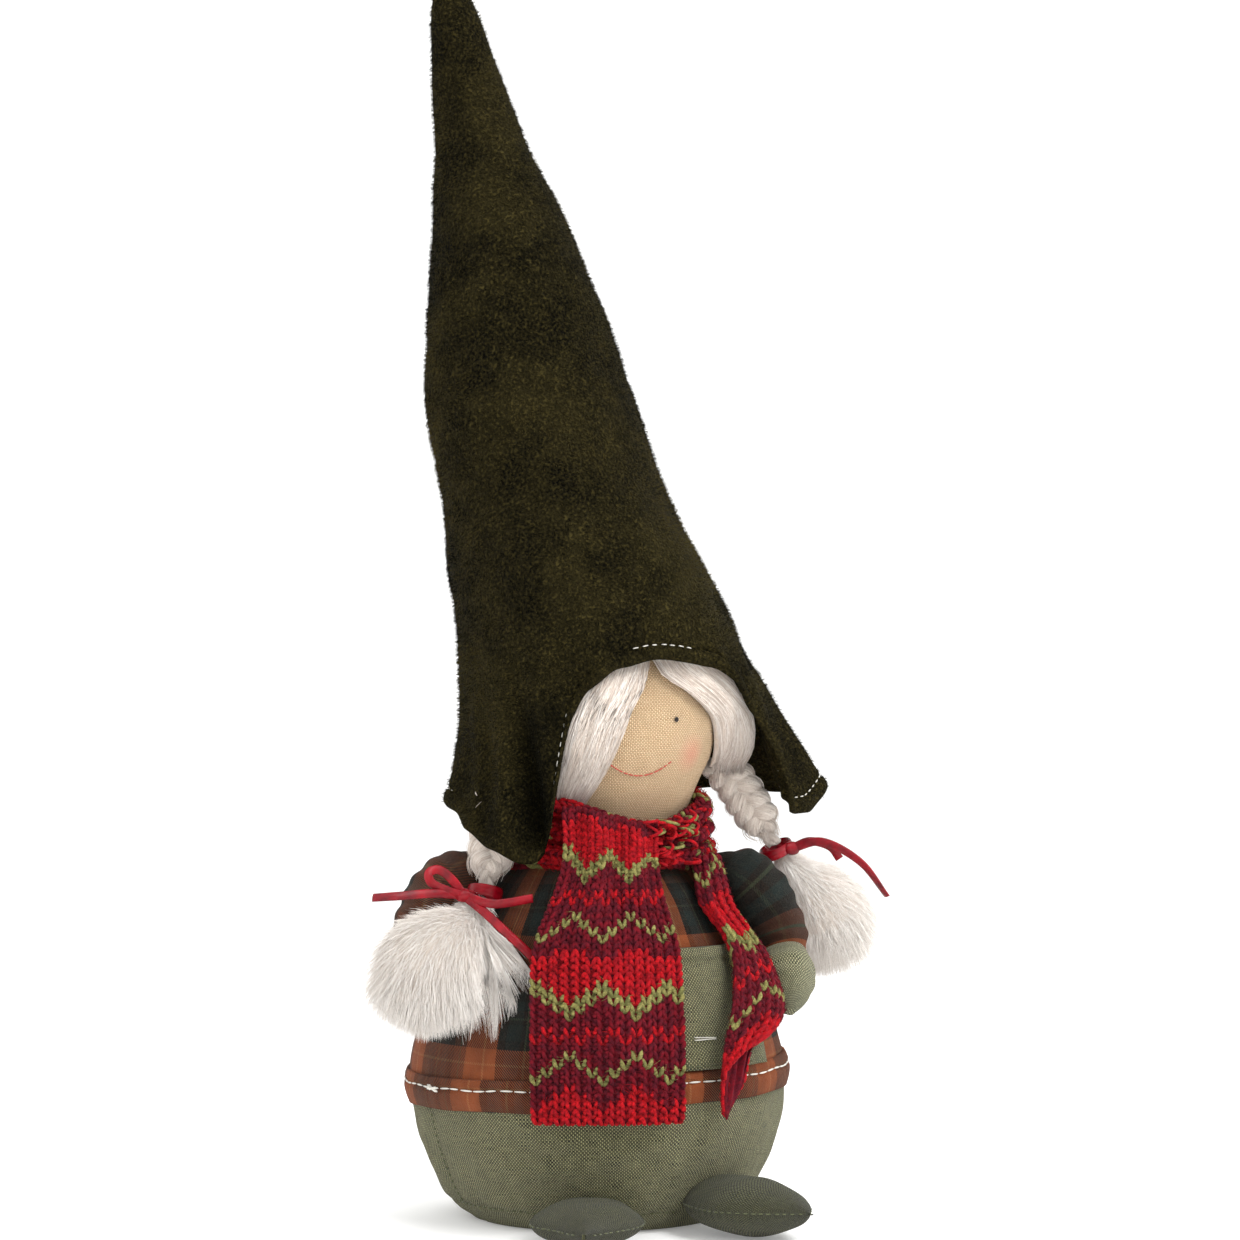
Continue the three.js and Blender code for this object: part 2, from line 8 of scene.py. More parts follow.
import bpy
import numpy as np
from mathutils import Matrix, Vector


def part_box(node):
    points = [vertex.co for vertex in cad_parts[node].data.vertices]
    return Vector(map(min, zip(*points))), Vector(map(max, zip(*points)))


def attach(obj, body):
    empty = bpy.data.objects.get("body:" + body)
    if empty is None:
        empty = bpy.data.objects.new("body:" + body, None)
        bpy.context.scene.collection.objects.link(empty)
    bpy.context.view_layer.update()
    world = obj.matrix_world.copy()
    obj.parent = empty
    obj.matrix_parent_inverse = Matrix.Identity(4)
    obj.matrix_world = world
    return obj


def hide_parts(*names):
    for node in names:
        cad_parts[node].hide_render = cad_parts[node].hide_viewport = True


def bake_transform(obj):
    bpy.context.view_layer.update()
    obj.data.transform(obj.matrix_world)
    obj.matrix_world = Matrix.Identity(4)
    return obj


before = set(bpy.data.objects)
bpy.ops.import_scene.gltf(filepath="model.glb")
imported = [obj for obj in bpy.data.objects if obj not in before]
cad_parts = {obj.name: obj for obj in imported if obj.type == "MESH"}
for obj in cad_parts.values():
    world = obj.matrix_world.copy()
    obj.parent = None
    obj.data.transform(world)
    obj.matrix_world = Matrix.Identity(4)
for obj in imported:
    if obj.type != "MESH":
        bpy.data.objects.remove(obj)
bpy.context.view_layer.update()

MM = 0.001
GAP = 0.4                        # between pieces that lie on each other


# ---- places taken from the frame ----
def middle_of(node):
    """The middle of a CAD node's box across the floor, in millimetres."""
    low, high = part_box(node)
    return np.array([(low[0] + high[0]) / 2, (low[1] + high[1]) / 2]) / MM


HEAD_AT = middle_of("head_cover")
WRAP_AT = middle_of("scarf_wrap")
FOOT_HEIGHT = (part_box("foot_left")[1][2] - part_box("foot_left")[0][2]) / MM

# ---- driving dimensions, as in the CAD ----
BODY_OUTLINE = [
    (50, 0), (60, 9), (67, 23), (72.5, 39), (75, 57), (71, 78), (62, 103), (49, 126), (37, 140), (29, 149),
]
HEAD_OUTLINE = [(26, 152), (35.5, 171), (41, 184), (42.5, 198), (40.5, 214), (32, 232), (17, 243), (0.2, 246)]
WAIST = 56
NECK = 149
HEM_LOW, HEM_HIGH, HEM_THICK, HEM_STITCH = 50, 62.5, 1.8, 58.5
HEM_TILT = 4                     # the hem hangs this much lower at the gnome's right than at its left
POCKET_LOW, POCKET_HIGH, POCKET_EDGE = 64.5, 110, 37
LOOSE_THREAD = 76                # height of two white threads left on the pocket
FOOT_SPLAY = {1: 21, -1: 26}     # the right foot turns out more
FOOT_CENTRE, FOOT_LENGTH, FOOT_WIDTH = 83, 66, 44
FOOT_FLATTER = 6                 # the right foot is this much flatter than the left
PLUSH = 2.4                      # thickness of the hat's plush
SIDE_SEAM = -86                  # azimuth of one of the lower cover's side seams
BASE_SEAM = 8
KNOT_AZIMUTH = -78               # the loose end of the hem's thread
CHEEK_HEIGHT, CHEEK_SIZE, CHEEKS = 184, 9, (28, -40)

HAT_LEAN_AZIMUTH = -114
HAT_STATIONS = [                 # height, lean and radius up the cone
    (235, 0, 55.5), (265, 10, 51), (292, 19, 45.5), (320, 25.5, 43.5), (355, 32, 36.5),
    (390, 37.5, 29.5), (425, 46.5, 19.5), (465, 54.5, 11.6), (482, 57.5, 9.4), (491, 59, 5.5),
]
HAT_SKIRT_SHARE = 0.36           # share of the hat's rows that are below the cone's first station
HAT_RIM = [                      # azimuth, height, radius, and how late the skirt flares out to it
    (-180, 172, 62, 1.6), (-130, 167, 63, 3), (-95, 164, 67, 4), (-80, 156, 67, 4),
    (-70, 149, 65, 3), (-56, 143, 61, 2), (-46, 156, 58, 1.4), (-41, 198, 55, 1.1),
    (-32, 211, 53, 1), (-20, 219, 51, 1), (0, 222, 50, 1), (24, 220, 55, 1),
    (40, 212, 60, 1), (50, 202, 64, 1), (58, 184, 68, 1), (68, 160, 73, 1.1),
    (77, 161, 85, 1.1), (86, 169, 95, 1.1), (130, 168, 71, 1.5), (180, 172, 62, 1.6),
]
HAT_AROUND, HAT_UP = 240, 190    # points round the hat and up it
HEM_ROLL = 5.5                   # how far the hat's rolled hem reaches up from its edge
BRIM_SHOWS = [(-185, -98), (-48.5, -37), (-16, 20), (66, 185)]    # azimuths where the brim's thread shows
# where the hat's right flap folds, and the painted shade in that fold, on the plush and on its pile
FOLD_AZIMUTH, FOLD_SHADE_RADIUS, FOLD_SHADE_SIZE = -52, 52, 14
FOLD_SHADE_HEIGHTS = (160, 170, 180, 190, 200)

# ---- camera ----
CAMERA_AZIMUTH = -24
CAMERA_DISTANCE = 1.5
CAMERA_HEIGHT = 0.2368
CAMERA_ASIDE = 0.0092
VIEW_WIDTH = 0.496
SENSOR = 36

FLOOR_RADIUS, BEND_RADIUS, WALL_HEIGHT = 3.5, 2.5, 5
STUDIO_GLOW = 0.19               # evens out the paler floor and the wall
SKY_STRENGTH = 0.95
LIGHT_AIM = 0.2                  # height of the point that the lights face
LIGHTS = [                       # name, azimuth from the camera's, elevation, distance, size, power
    ("key", 48, 42, 1.5, 0.8, 20),
    ("fill", -40, 25, 1.8, 1.2, 5),
    ("back", 175, 50, 1.7, 1.0, 11),
]


def direction(azimuth):
    """The level direction that an azimuth faces."""
    a = math.radians(azimuth)
    return np.array([math.sin(a), -math.cos(a), 0.0])


def make_camera():
    """A level camera in front of the gnome's right, aimed at half its height."""
    data = bpy.data.cameras.new("camera")
    data.sensor_width = SENSOR
    data.lens = SENSOR * CAMERA_DISTANCE / VIEW_WIDTH
    camera = bpy.data.objects.new("camera", data)
    place = direction(CAMERA_AZIMUTH) * CAMERA_DISTANCE + direction(CAMERA_AZIMUTH + 90) * CAMERA_ASIDE
    camera.location = (place[0], place[1], CAMERA_HEIGHT)
    camera.rotation_euler = (math.radians(90), 0, math.radians(CAMERA_AZIMUTH))
    bpy.context.scene.collection.objects.link(camera)
    bpy.context.scene.camera = camera


def make_light(name, azimuth, elevation, distance, size, power):
    """A square area light aimed at the figure's middle."""
    data = bpy.data.lights.new(name, "AREA")
    data.size = size
    data.energy = power
    light = bpy.data.objects.new(name, data)
    e = math.radians(elevation)
    level = direction(azimuth) * math.cos(e) * distance
    light.location = (level[0], level[1], math.sin(e) * distance + LIGHT_AIM)
    light.rotation_euler = (math.radians(90) - e, 0, math.radians(azimuth))
    bpy.context.scene.collection.objects.link(light)


def make_studio():
    """A pale bowl for floor and walls, a soft sky and three large soft lights."""
    arc = np.radians(np.linspace(-90, 0, 14))
    bend = [(FLOOR_RADIUS + BEND_RADIUS * math.cos(t), BEND_RADIUS * (1 + math.sin(t))) for t in arc]
    profile = [(0.01, 0), (0.6, 0), *bend, (FLOOR_RADIUS + BEND_RADIUS, WALL_HEIGHT)]
    sides = 64
    verts = [
        (r * math.cos(2 * math.pi * k / sides), r * math.sin(2 * math.pi * k / sides), z - 0.0002)
        for r, z in profile for k in range(sides)
    ]
    index = np.arange(len(verts)).reshape(-1, sides)
    following = np.roll(index, -1, axis=1)
    faces = np.stack([index[:-1], following[:-1], following[1:], index[1:]], -1).reshape(-1, 4).tolist()
    mesh = bpy.data.meshes.new("studio_floor")
    mesh.from_pydata(verts, [], faces + [tuple(range(sides))])
    mesh.polygons.foreach_set("use_smooth", [True] * len(mesh.polygons))
    floor = bpy.data.objects.new("studio_floor", mesh)
    bpy.context.scene.collection.objects.link(floor)
    paint = Paint("studio_floor", roughness=0.9)
    paint.colour_from(paint.mix(paint.noise(400, 2), (0.86, 0.86, 0.855), (0.89, 0.89, 0.885)))
    paint.glow(STUDIO_GLOW)
    mesh.materials.append(paint.material)
    world = bpy.data.worlds.new("studio_sky")
    world.use_nodes = True
    background = world.node_tree.nodes["Background"]
    background.inputs["Color"].default_value = (1, 1, 1, 1)
    background.inputs["Strength"].default_value = SKY_STRENGTH
    bpy.context.scene.world = world
    for name, aside, *setting in LIGHTS:
        make_light(name, CAMERA_AZIMUTH + aside, *setting)
    view = bpy.context.scene.view_settings
    view.view_transform = "Standard"
    view.look = "None"


# ---- curves and surfaces ----
def catmull(knots, count):
    """Points along a smooth curve through the knots."""
    knots = np.asarray(knots, float)
    ends = np.vstack([2 * knots[0] - knots[1], knots, 2 * knots[-1] - knots[-2]])
    t = np.linspace(0, len(knots) - 1, count)
    i = np.minimum(t.astype(int), len(knots) - 2)
    f = (t - i)[:, None]
    a, b, c, d = (ends[i + k] for k in range(4))
    return 0.5 * (2 * b + (c - a) * f + (2 * a - 5 * b + 4 * c - d) * f**2 + (3 * b - a - 3 * c + d) * f**3)


def lengths_along(points):
    """How far along the line each of its points is."""
    steps = np.linalg.norm(np.diff(points, axis=0), axis=1)
    return np.concatenate([[0], np.cumsum(steps)])


def even(knots, count):
    """Evenly spaced points along a smooth curve through the knots."""
    fine = catmull(knots, 30 * len(knots))
    run = lengths_along(fine)
    return look_up(np.linspace(0, run[-1], count), run, fine)


def unit(vectors):
    """The vectors at a length of one."""
    return vectors / np.maximum(np.linalg.norm(vectors, axis=-1, keepdims=True), 1e-9)


def ease(share):
    """A smooth step from 0 to 1."""
    share = np.clip(share, 0, 1)
    return share * share * (3 - 2 * share)


def hump(value, middle, width):
    """A smooth rise to 1 where a value is at the middle, and back to 0."""
    return np.exp(-((value - middle) / width) ** 2)


def look_up(at, run, table):
    """A table's columns read off at places between its rows."""
    return np.stack([np.interp(at, run, table[:, k]) for k in range(table.shape[1])], -1)


def turns_of(sides):
    """Evenly spaced angles of a full turn, in radians."""
    return 2 * math.pi * np.arange(sides) / sides


def polar(radius, azimuth, z, centre=(0, 0)):
    """Points at a radius, azimuth and height about an upright axis. Any of them may be an array."""
    radius, azimuth, z = np.broadcast_arrays(radius, np.radians(azimuth), z)
    return np.stack([centre[0] + radius * np.sin(azimuth), centre[1] - radius * np.cos(azimuth), z], -1)


body_line = catmull(BODY_OUTLINE, 300)
head_line = catmull(HEAD_OUTLINE, 300)


def body_radius(z):
    """The body's radius at a height."""
    return np.interp(z, body_line[:, 1], body_line[:, 0])


def head_radius(z):
    """The head's radius at a height."""
    return np.interp(z, head_line[:, 1], head_line[:, 0])


def lumps(points, size, seed):
    """Smooth uneven swelling about `size` mm across and about one high, the same every run."""
    rng = np.random.default_rng(seed)
    total = np.zeros(points.shape[:-1])
    waves = 9
    for _ in range(waves):
        way = unit(rng.normal(size=3))
        wave = size * rng.uniform(0.9, 2.0)
        total += np.sin(points @ way * 2 * math.pi / wave + rng.uniform(0, 2 * math.pi))
    return total / math.sqrt(waves)


def normals_of(grid, wrap=True):
    """Unit normals of a grid of points that runs round in its second index."""
    if wrap:
        around = np.roll(grid, -1, axis=1) - np.roll(grid, 1, axis=1)
    else:
        around = np.gradient(grid, axis=1)
    up = np.gradient(grid, axis=0)
    return unit(np.cross(around, up))


class Shape:
    """Closed surfaces gathered into one mesh, each facing out."""

    def __init__(self):
        self.points, self.faces, self.slots, self.cloth = [], [], [], []
        self.count = 0

    def add(self, points, faces, slot=0, cloth=None):
        """One closed surface: points, faces of equal size, and each corner's place on the flat cloth."""
        points = np.asarray(points, float).reshape(-1, 3)
        volume = 0.0
        for block in faces:
            first = points[block[:, 0]]
            for k in range(1, block.shape[1] - 1):
                volume += np.einsum("ij,ij->", first, np.cross(points[block[:, k]], points[block[:, k + 1]]))
        for number, block in enumerate(faces):
            places = cloth[number] if cloth else points[block][..., :2]
            if volume < 0:
                block, places = block[:, ::-1], places[:, ::-1]
            self.faces += (block + self.count).tolist()
            self.cloth.append(np.asarray(places, float).reshape(-1, 2))
            self.slots += [slot] * len(block)
        self.points.append(points)
        self.count += len(points)
        return self

    def turned(self, grid, slot=0, ring=False):
        """A grid that closes round its second index, capped at both ends, or closed both ways as a ring."""
        rows, columns = grid.shape[:2]
        index = np.arange(rows * columns).reshape(rows, columns)
        index = np.hstack([index, index[:, :1]])
        girth = np.linalg.norm(np.diff(np.hstack([grid, grid[:, :1]]), axis=1), axis=2).sum(1).max()
        u = np.linspace(0, girth, columns + 1)
        v = lengths_along(grid[:, 0])
        if ring:
            index = np.vstack([index, index[:1]])
            v = np.append(v, v[-1] + np.linalg.norm(grid[-1, 0] - grid[0, 0]))
        flat = np.stack(np.meshgrid(u, v), -1)
        corners = [(slice(None, -1), slice(None, -1)), (slice(None, -1), slice(1, None)),
                   (slice(1, None), slice(1, None)), (slice(1, None), slice(None, -1))]
        quads = np.stack([index[c] for c in corners], -1).reshape(-1, 4)
        places = np.stack([flat[c] for c in corners], -2).reshape(-1, 4, 2)
        faces, cloth = [quads], [places]
        if not ring:
            for ends in (index[:1, -2::-1], index[-1:, :-1]):
                faces.append(ends)
                cloth.append(grid.reshape(-1, 3)[ends][..., :2])
        return self.add(grid, faces, slot, cloth)

    def slab(self, outer, inner, slot=0):
        """Cloth of some thickness between two grids of points."""
        rows, columns = outer.shape[:2]
        a = np.arange(rows * columns).reshape(rows, columns)
        b = a + rows * columns
        u = np.linspace(0, np.linalg.norm(np.diff(outer, axis=1), axis=2).sum(1).max(), columns)
        v = lengths_along(outer[:, columns // 2])
        flat = np.stack(np.meshgrid(u, v), -1).reshape(-1, 2)
        flat = np.vstack([flat, flat])

        def quads(p, q, r, s):
            return np.stack([p.ravel(), q.ravel(), r.ravel(), s.ravel()], -1)

        faces = [
            quads(a[:-1, :-1], a[:-1, 1:], a[1:, 1:], a[1:, :-1]),
            quads(b[:-1, :-1], b[1:, :-1], b[1:, 1:], b[:-1, 1:]),
            quads(a[0, :-1], b[0, :-1], b[0, 1:], a[0, 1:]),
            quads(a[-1, :-1], a[-1, 1:], b[-1, 1:], b[-1, :-1]),
            quads(a[:-1, 0], a[1:, 0], b[1:, 0], b[:-1, 0]),
            quads(a[:-1, -1], b[:-1, -1], b[1:, -1], a[1:, -1]),
        ]
        return self.add(np.concatenate([outer.reshape(-1, 3), inner.reshape(-1, 3)]), faces, slot,
                        [flat[f] for f in faces])

    def tubes(self, lines, radii, sides, slot=0, out=None, flat=1.0):
        """Closed tubes along many lines of points. `flat` thins them along `out`, the way they face."""
        lines = np.asarray(lines, float)
        count, steps = lines.shape[:2]
        if not count:
            return self
        radii = np.broadcast_to(radii, (count, steps))[..., None, None]
        tangent = unit(np.gradient(lines, axis=1))
        if out is None:
            out = np.where(np.abs(tangent[..., 2:]) < 0.9, (0.0, 0.0, 1.0), (1.0, 0.0, 0.0))
        across = unit(np.cross(tangent, np.broadcast_to(out, tangent.shape)))
        up = np.cross(across, tangent)
        turn = turns_of(sides)
        ring = np.cos(turn)[:, None] * across[:, :, None] + flat * np.sin(turn)[:, None] * up[:, :, None]
        points = lines[:, :, None] + radii * ring
        index = np.arange(count * steps * sides).reshape(count, steps, sides)
        turned = np.roll(index, -1, axis=2)
        quads = np.stack([index[:, :-1], index[:, 1:], turned[:, 1:], turned[:, :-1]], -1).reshape(-1, 4)
        ends = [index[:, 0], index[:, -1, ::-1]]
        reach = np.linalg.norm(np.diff(lines, axis=1), axis=2).sum(1)
        run = np.linspace(0, 1, steps)[None, :, None] * reach[:, None, None]
        cloth = np.stack([np.broadcast_to(v, index.shape) for v in (turn, run)], -1).reshape(-1, 2)
        faces = [quads, *ends]
        return self.add(points, faces, slot, [cloth[f] for f in faces])

    def hairs(self, lines, radii, shade, slot=1):
        """Fine tubes in three shades, which use this slot and the two after it."""
        radii = np.broadcast_to(radii, lines.shape[:2])
        for number in range(3):
            chosen = shade == number
            self.tubes(lines[chosen], radii[chosen], 3, slot + number)

    def make(self, name, paints, body="root", slot=None, stands_for=()):
        """The mesh as a piece that rides on a body."""
        mesh = bpy.data.meshes.new(name)
        mesh.from_pydata((np.concatenate(self.points) * MM).tolist(), [], self.faces)
        layer = mesh.uv_layers.new(name="cloth")
        layer.data.foreach_set("uv", np.concatenate(self.cloth).astype(np.float32).ravel())
        for paint in paints:
            mesh.materials.append(paint.material)
        mesh.polygons.foreach_set("material_index", np.array(self.slots, np.int32))
        mesh.polygons.foreach_set("use_smooth", np.ones(len(self.faces), bool))
        mesh.update()
        item = bpy.data.objects.new(name, mesh)
        bpy.context.scene.collection.objects.link(item)
        if body:
            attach(item, body)
        if stands_for:
            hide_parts(*stands_for)
        return item


# ---- materials ----
LINEN_PITCH = 0.72               # from one thread to the next
PLAID_REPEAT = 46
TWILL_PITCH = 1.1


def srgb(red, green, blue):
    """A colour from 0 to 255 as seen on a screen, as the linear colour a shader takes."""
    channels = []
    for value in (red, green, blue):
        v = value / 255
        channels.append(v / 12.92 if v <= 0.04045 else ((v + 0.055) / 1.055) ** 2.4)
    return tuple(channels)


class Paint:
    """A material whose nodes are added by short calls. Lengths are in millimetres of cloth."""

    def __init__(self, name, colour=(0.5, 0.5, 0.5), roughness=0.9, sheen=0.0, tint=(1, 1, 1), shine=0.25):
        self.material = bpy.data.materials.new(name)
        self.material.use_nodes = True
        self.tree = self.material.node_tree
        self.shader = self.tree.nodes["Principled BSDF"]
        self.shader.inputs["Base Color"].default_value = (*colour, 1)
        self.shader.inputs["Roughness"].default_value = roughness
        self.shader.inputs["Sheen Weight"].default_value = sheen
        self.shader.inputs["Sheen Roughness"].default_value = 0.45
        self.shader.inputs["Sheen Tint"].default_value = (*tint, 1)
        self.shader.inputs["Specular IOR Level"].default_value = shine

    def node(self, kind, **settings):
        made = self.tree.nodes.new(kind)
        for key, value in settings.items():
            setattr(made, key, value)
        return made

    def plug(self, value, socket):
        """Links a socket, or sets a plain number or colour."""
        if isinstance(value, bpy.types.NodeSocket):
            self.tree.links.new(value, socket)
        elif isinstance(value, (tuple, list)) and socket.type == "RGBA":
            socket.default_value = (*value[:3], 1)
        else:
            socket.default_value = value

    def math(self, operation, a, b=0.0, c=0.0):
        made = self.node("ShaderNodeMath", operation=operation)
        for value, socket in zip((a, b, c), made.inputs):
            self.plug(value, socket)
        return made.outputs[0]

    def times(self, value, factor):
        return self.math("MULTIPLY", value, factor)

    def total(self, *terms):
        """The sum of values, each times its weight."""
        whole = self.times(*terms[0])
        for value, weight in terms[1:]:
            whole = self.math("MULTIPLY_ADD", value, weight, whole)
        return whole

    def mix(self, share, a, b):
        """Colour a with a share of colour b."""
        made = self.node("ShaderNodeMix", data_type="RGBA")
        self.plug(share, made.inputs[0])
        self.plug(a, made.inputs[6])
        self.plug(b, made.inputs[7])
        return made.outputs[2]

    def cloth(self):
        """Where a point lies on its flat cloth: across, along."""
        place = self.node("ShaderNodeUVMap", uv_map="cloth")
        split = self.node("ShaderNodeSeparateXYZ")
        self.tree.links.new(place.outputs[0], split.inputs[0])
        return split.outputs[0], split.outputs[1]

    def place(self):
        """Where a point is on the object, in millimetres."""
        made = self.node("ShaderNodeVectorMath", operation="SCALE")
        self.tree.links.new(self.node("ShaderNodeTexCoord").outputs["Object"], made.inputs[0])
        made.inputs["Scale"].default_value = 1 / MM
        return made.outputs[0]

    def joined(self, x, y, z=0.0):
        made = self.node("ShaderNodeCombineXYZ")
        for value, socket in zip((x, y, z), made.inputs):
            self.plug(value, socket)
        return made.outputs[0]

    def noise(self, size, detail=2, where=None, low=0.3, high=0.7):
        """Noise about `size` mm across, stretched from 0 to 1."""
        made = self.node("ShaderNodeTexNoise")
        self.plug(where if where is not None else self.place(), made.inputs["Vector"])
        made.inputs["Scale"].default_value = 1 / size
        made.inputs["Detail"].default_value = detail
        return self.between(made.outputs[0], low, high)

    def between(self, value, low, high):
        """A value's share of the way from low to high, kept from 0 to 1."""
        made = self.node("ShaderNodeMapRange")
        self.plug(value, made.inputs[0])
        made.inputs[1].default_value = low
        made.inputs[2].default_value = high
        return made.outputs[0]

    def colour_from(self, colour):
        self.plug(colour, self.shader.inputs["Base Color"])

    def patch(self, colour, spot, size, share, other):
        """A colour with a soft round patch of another, `size` mm from its middle to its edge."""
        distance = self.node("ShaderNodeVectorMath", operation="DISTANCE")
        self.tree.links.new(self.place(), distance.inputs[0])
        distance.inputs[1].default_value = tuple(spot)
        return self.mix(self.times(self.between(distance.outputs["Value"], size, 1), share), colour, other)

    def glow(self, strength):
        """A little light of its own: painted light on the wool and fur, and an even brightness for the
        studio's bowl.
        """
        self.shader.inputs["Emission Color"].default_value = (1, 1, 1, 1)
        self.shader.inputs["Emission Strength"].default_value = strength
        return self

    def bump(self, height, depth):
        """Relief from a height of 0 to 1, `depth` mm deep."""
        made = self.node("ShaderNodeBump")
        made.inputs["Distance"].default_value = depth * MM
        self.plug(height, made.inputs["Height"])
        self.tree.links.new(made.outputs[0], self.shader.inputs["Normal"])

    def weave(self, pitch):
        """Plain weave: thread height, which thread is on top, and streaky shade along each thread."""
        across, along = self.cloth()
        drift = self.noise(9, 2)
        x = self.total((across, 1 / pitch), (drift, 1.1))
        y = self.total((along, 1 / pitch), (drift, 0.9))
        column, row = self.math("FLOOR", x), self.math("FLOOR", y)
        over = self.math("FLOORED_MODULO", self.math("ADD", column, row), 2.0)
        crown_x, crown_y = (self.math("SINE", self.times(self.math("FRACT", v), math.pi)) for v in (x, y))
        warp = self.times(crown_x, self.math("MULTIPLY_ADD", crown_y, 0.5, 0.5))
        weft = self.times(crown_y, self.math("MULTIPLY_ADD", crown_x, 0.5, 0.5))
        height = self.total((warp, over), (weft, self.math("SUBTRACT", 1.0, over)))
        warp_shade = self.noise(1, 1, self.joined(column, self.times(y, 0.08)), 0.32, 0.68)
        weft_shade = self.noise(1, 1, self.joined(self.times(x, 0.08), row, 7.0), 0.32, 0.68)
        shade = self.node("ShaderNodeMix", data_type="FLOAT")
        self.plug(over, shade.inputs[0])
        self.plug(weft_shade, shade.inputs[2])
        self.plug(warp_shade, shade.inputs[3])
        return height, over, shade.outputs[0]


def linen_paint(name, dark, light, faded, gap_share=0.8):
    """Plain-woven linen with uneven threads."""
    paint = Paint(name, roughness=0.92, sheen=0.12)
    height, over, shade = paint.weave(LINEN_PITCH)
    share = paint.total((paint.times(height, over), 0.75), (shade, 0.3))
    colour = paint.mix(share, dark, light)
    gaps = paint.times(paint.between(height, 0.62, 0.12), gap_share)
    colour = paint.mix(gaps, colour, tuple(0.25 * c for c in dark))
    colour = paint.mix(paint.times(paint.noise(22, 3), 0.14), colour, faded)
    paint.colour_from(colour)
    paint.bump(height, 0.5)
    return paint


def plaid_stripes(paint, position):
    """The colour of one set of the plaid's threads, from its place in the repeat."""
    rust, brown, tan = srgb(134, 68, 35), srgb(70, 36, 22), srgb(152, 98, 60)
    black, teal, green = srgb(5, 4, 5), srgb(4, 27, 28), srgb(46, 54, 38)
    ramp = paint.node("ShaderNodeValToRGB")
    ramp.color_ramp.interpolation = "CONSTANT"
    bands = [
        (0.0, rust), (0.20, tan), (0.22, rust), (0.34, black), (0.42, teal), (0.56, black), (0.60, green),
        (0.62, black), (0.68, teal), (0.76, black), (0.84, brown), (0.92, green), (0.935, brown),
    ]
    elements = ramp.color_ramp.elements
    for number, (place, colour) in enumerate(bands):
        stop = elements[number] if number < len(elements) else elements.new(place)
        stop.position = place
        stop.color = (*colour, 1)
    paint.plug(paint.math("FRACT", paint.math("DIVIDE", position, PLAID_REPEAT)), ramp.inputs[0])
    return ramp.outputs[0]


def plaid_paint(name, across_map, along_map, along_share):
    """Brushed twill flannel in a plaid. Each map is a scale and a shift of the stripes."""
    paint = Paint(name, roughness=1.0, sheen=0.04, tint=(0.9, 0.8, 0.7))
    across, along = paint.cloth()
    x = paint.math("MULTIPLY_ADD", across, *across_map)
    y = paint.math("MULTIPLY_ADD", along, *along_map)
    diagonal = paint.math("FRACT", paint.total((across, 1 / TWILL_PITCH), (along, 1 / TWILL_PITCH)))
    over = paint.between(diagonal, 0.85 - along_share, 1.15 - along_share)
    colour = paint.mix(over, plaid_stripes(paint, x), plaid_stripes(paint, y))
    fuzz = paint.noise(0.7, 3)
    colour = paint.mix(paint.times(fuzz, 0.13), colour, srgb(104, 84, 62))
    colour = paint.mix(paint.times(paint.noise(11, 2), 0.4), colour, srgb(20, 14, 11))
    paint.colour_from(colour)
    paint.bump(paint.total((diagonal, 0.4), (fuzz, 0.6)), 0.5)
    return paint


def plush_paint():
    """Short olive-brown pile, brushed this way and that, with painted shade down the fold of the right flap.
    """
    paint = Paint("plush", roughness=1.0, sheen=0.03, tint=srgb(120, 112, 60), shine=0.06)
    brushed = paint.noise(34, 3, low=0.43, high=0.57)
    smudge = paint.noise(10, 3, low=0.38, high=0.62)
    pile = paint.noise(1.1, 4, low=0.38, high=0.62)
    share = paint.total((brushed, 0.3), (smudge, 0.14), (pile, 0.56))
    colour = paint.mix(share, srgb(4, 4, 1), srgb(62, 55, 28))
    # painted shade: soft near-black patches down the fold of the right flap, where shade falls
    for height in FOLD_SHADE_HEIGHTS:
        spot = polar(FOLD_SHADE_RADIUS, FOLD_AZIMUTH, height, HEAD_AT)
        colour = paint.patch(colour, spot, FOLD_SHADE_SIZE, 0.85, srgb(3, 3, 1))
    paint.colour_from(colour)
    paint.bump(pile, 2.6)
    return paint


def wool_paint():
    """Combed wool: fine streaks along the fibres."""
    # painted light: the wool glows faintly all over, which brightens it in the hat's shade too
    paint = Paint("wool_white", roughness=0.8, sheen=0.3).glow(0.02)
    around, along = paint.cloth()
    streak = paint.noise(1, 2, paint.joined(paint.times(around, 9.0), paint.times(along, 0.12)))
    share = paint.total((streak, 0.6), (paint.noise(0.5, 3), 0.4))
    paint.colour_from(paint.mix(share, srgb(208, 192, 178), srgb(244, 234, 223)))
    paint.bump(share, 0.5)
    return paint


def yarn_paint(name, colour, flecks, heathered):
    """Knitting yarn: fibres of two colours twisted together."""
    paint = Paint(name, roughness=0.95, sheen=0.15, tint=tuple(min(1, c * 2 + 0.05) for c in colour))
    around, along = paint.cloth()
    twist = paint.math("FRACT", paint.total((around, 0.32), (along, 0.9)))
    share = paint.total((twist, 0.35), (paint.noise(0.45, 3), 0.65))
    ground = paint.mix(share, tuple(0.4 * c for c in colour), tuple(min(1, 1.3 * c) for c in colour))
    heather = paint.times(paint.noise(2.6, 3, low=0.4, high=0.6), heathered)
    paint.colour_from(paint.mix(heather, ground, flecks))
    paint.bump(share, 0.3)
    return paint


def thread_paint(name, colour):
    """Twisted sewing thread."""
    paint = Paint(name, roughness=0.7, sheen=0.2)
    around, along = paint.cloth()
    twist = paint.math("FRACT", paint.total((around, 0.16), (along, 1.4)))
    paint.colour_from(paint.mix(twist, tuple(0.75 * c for c in colour), colour))
    paint.bump(twist, 0.1)
    return paint


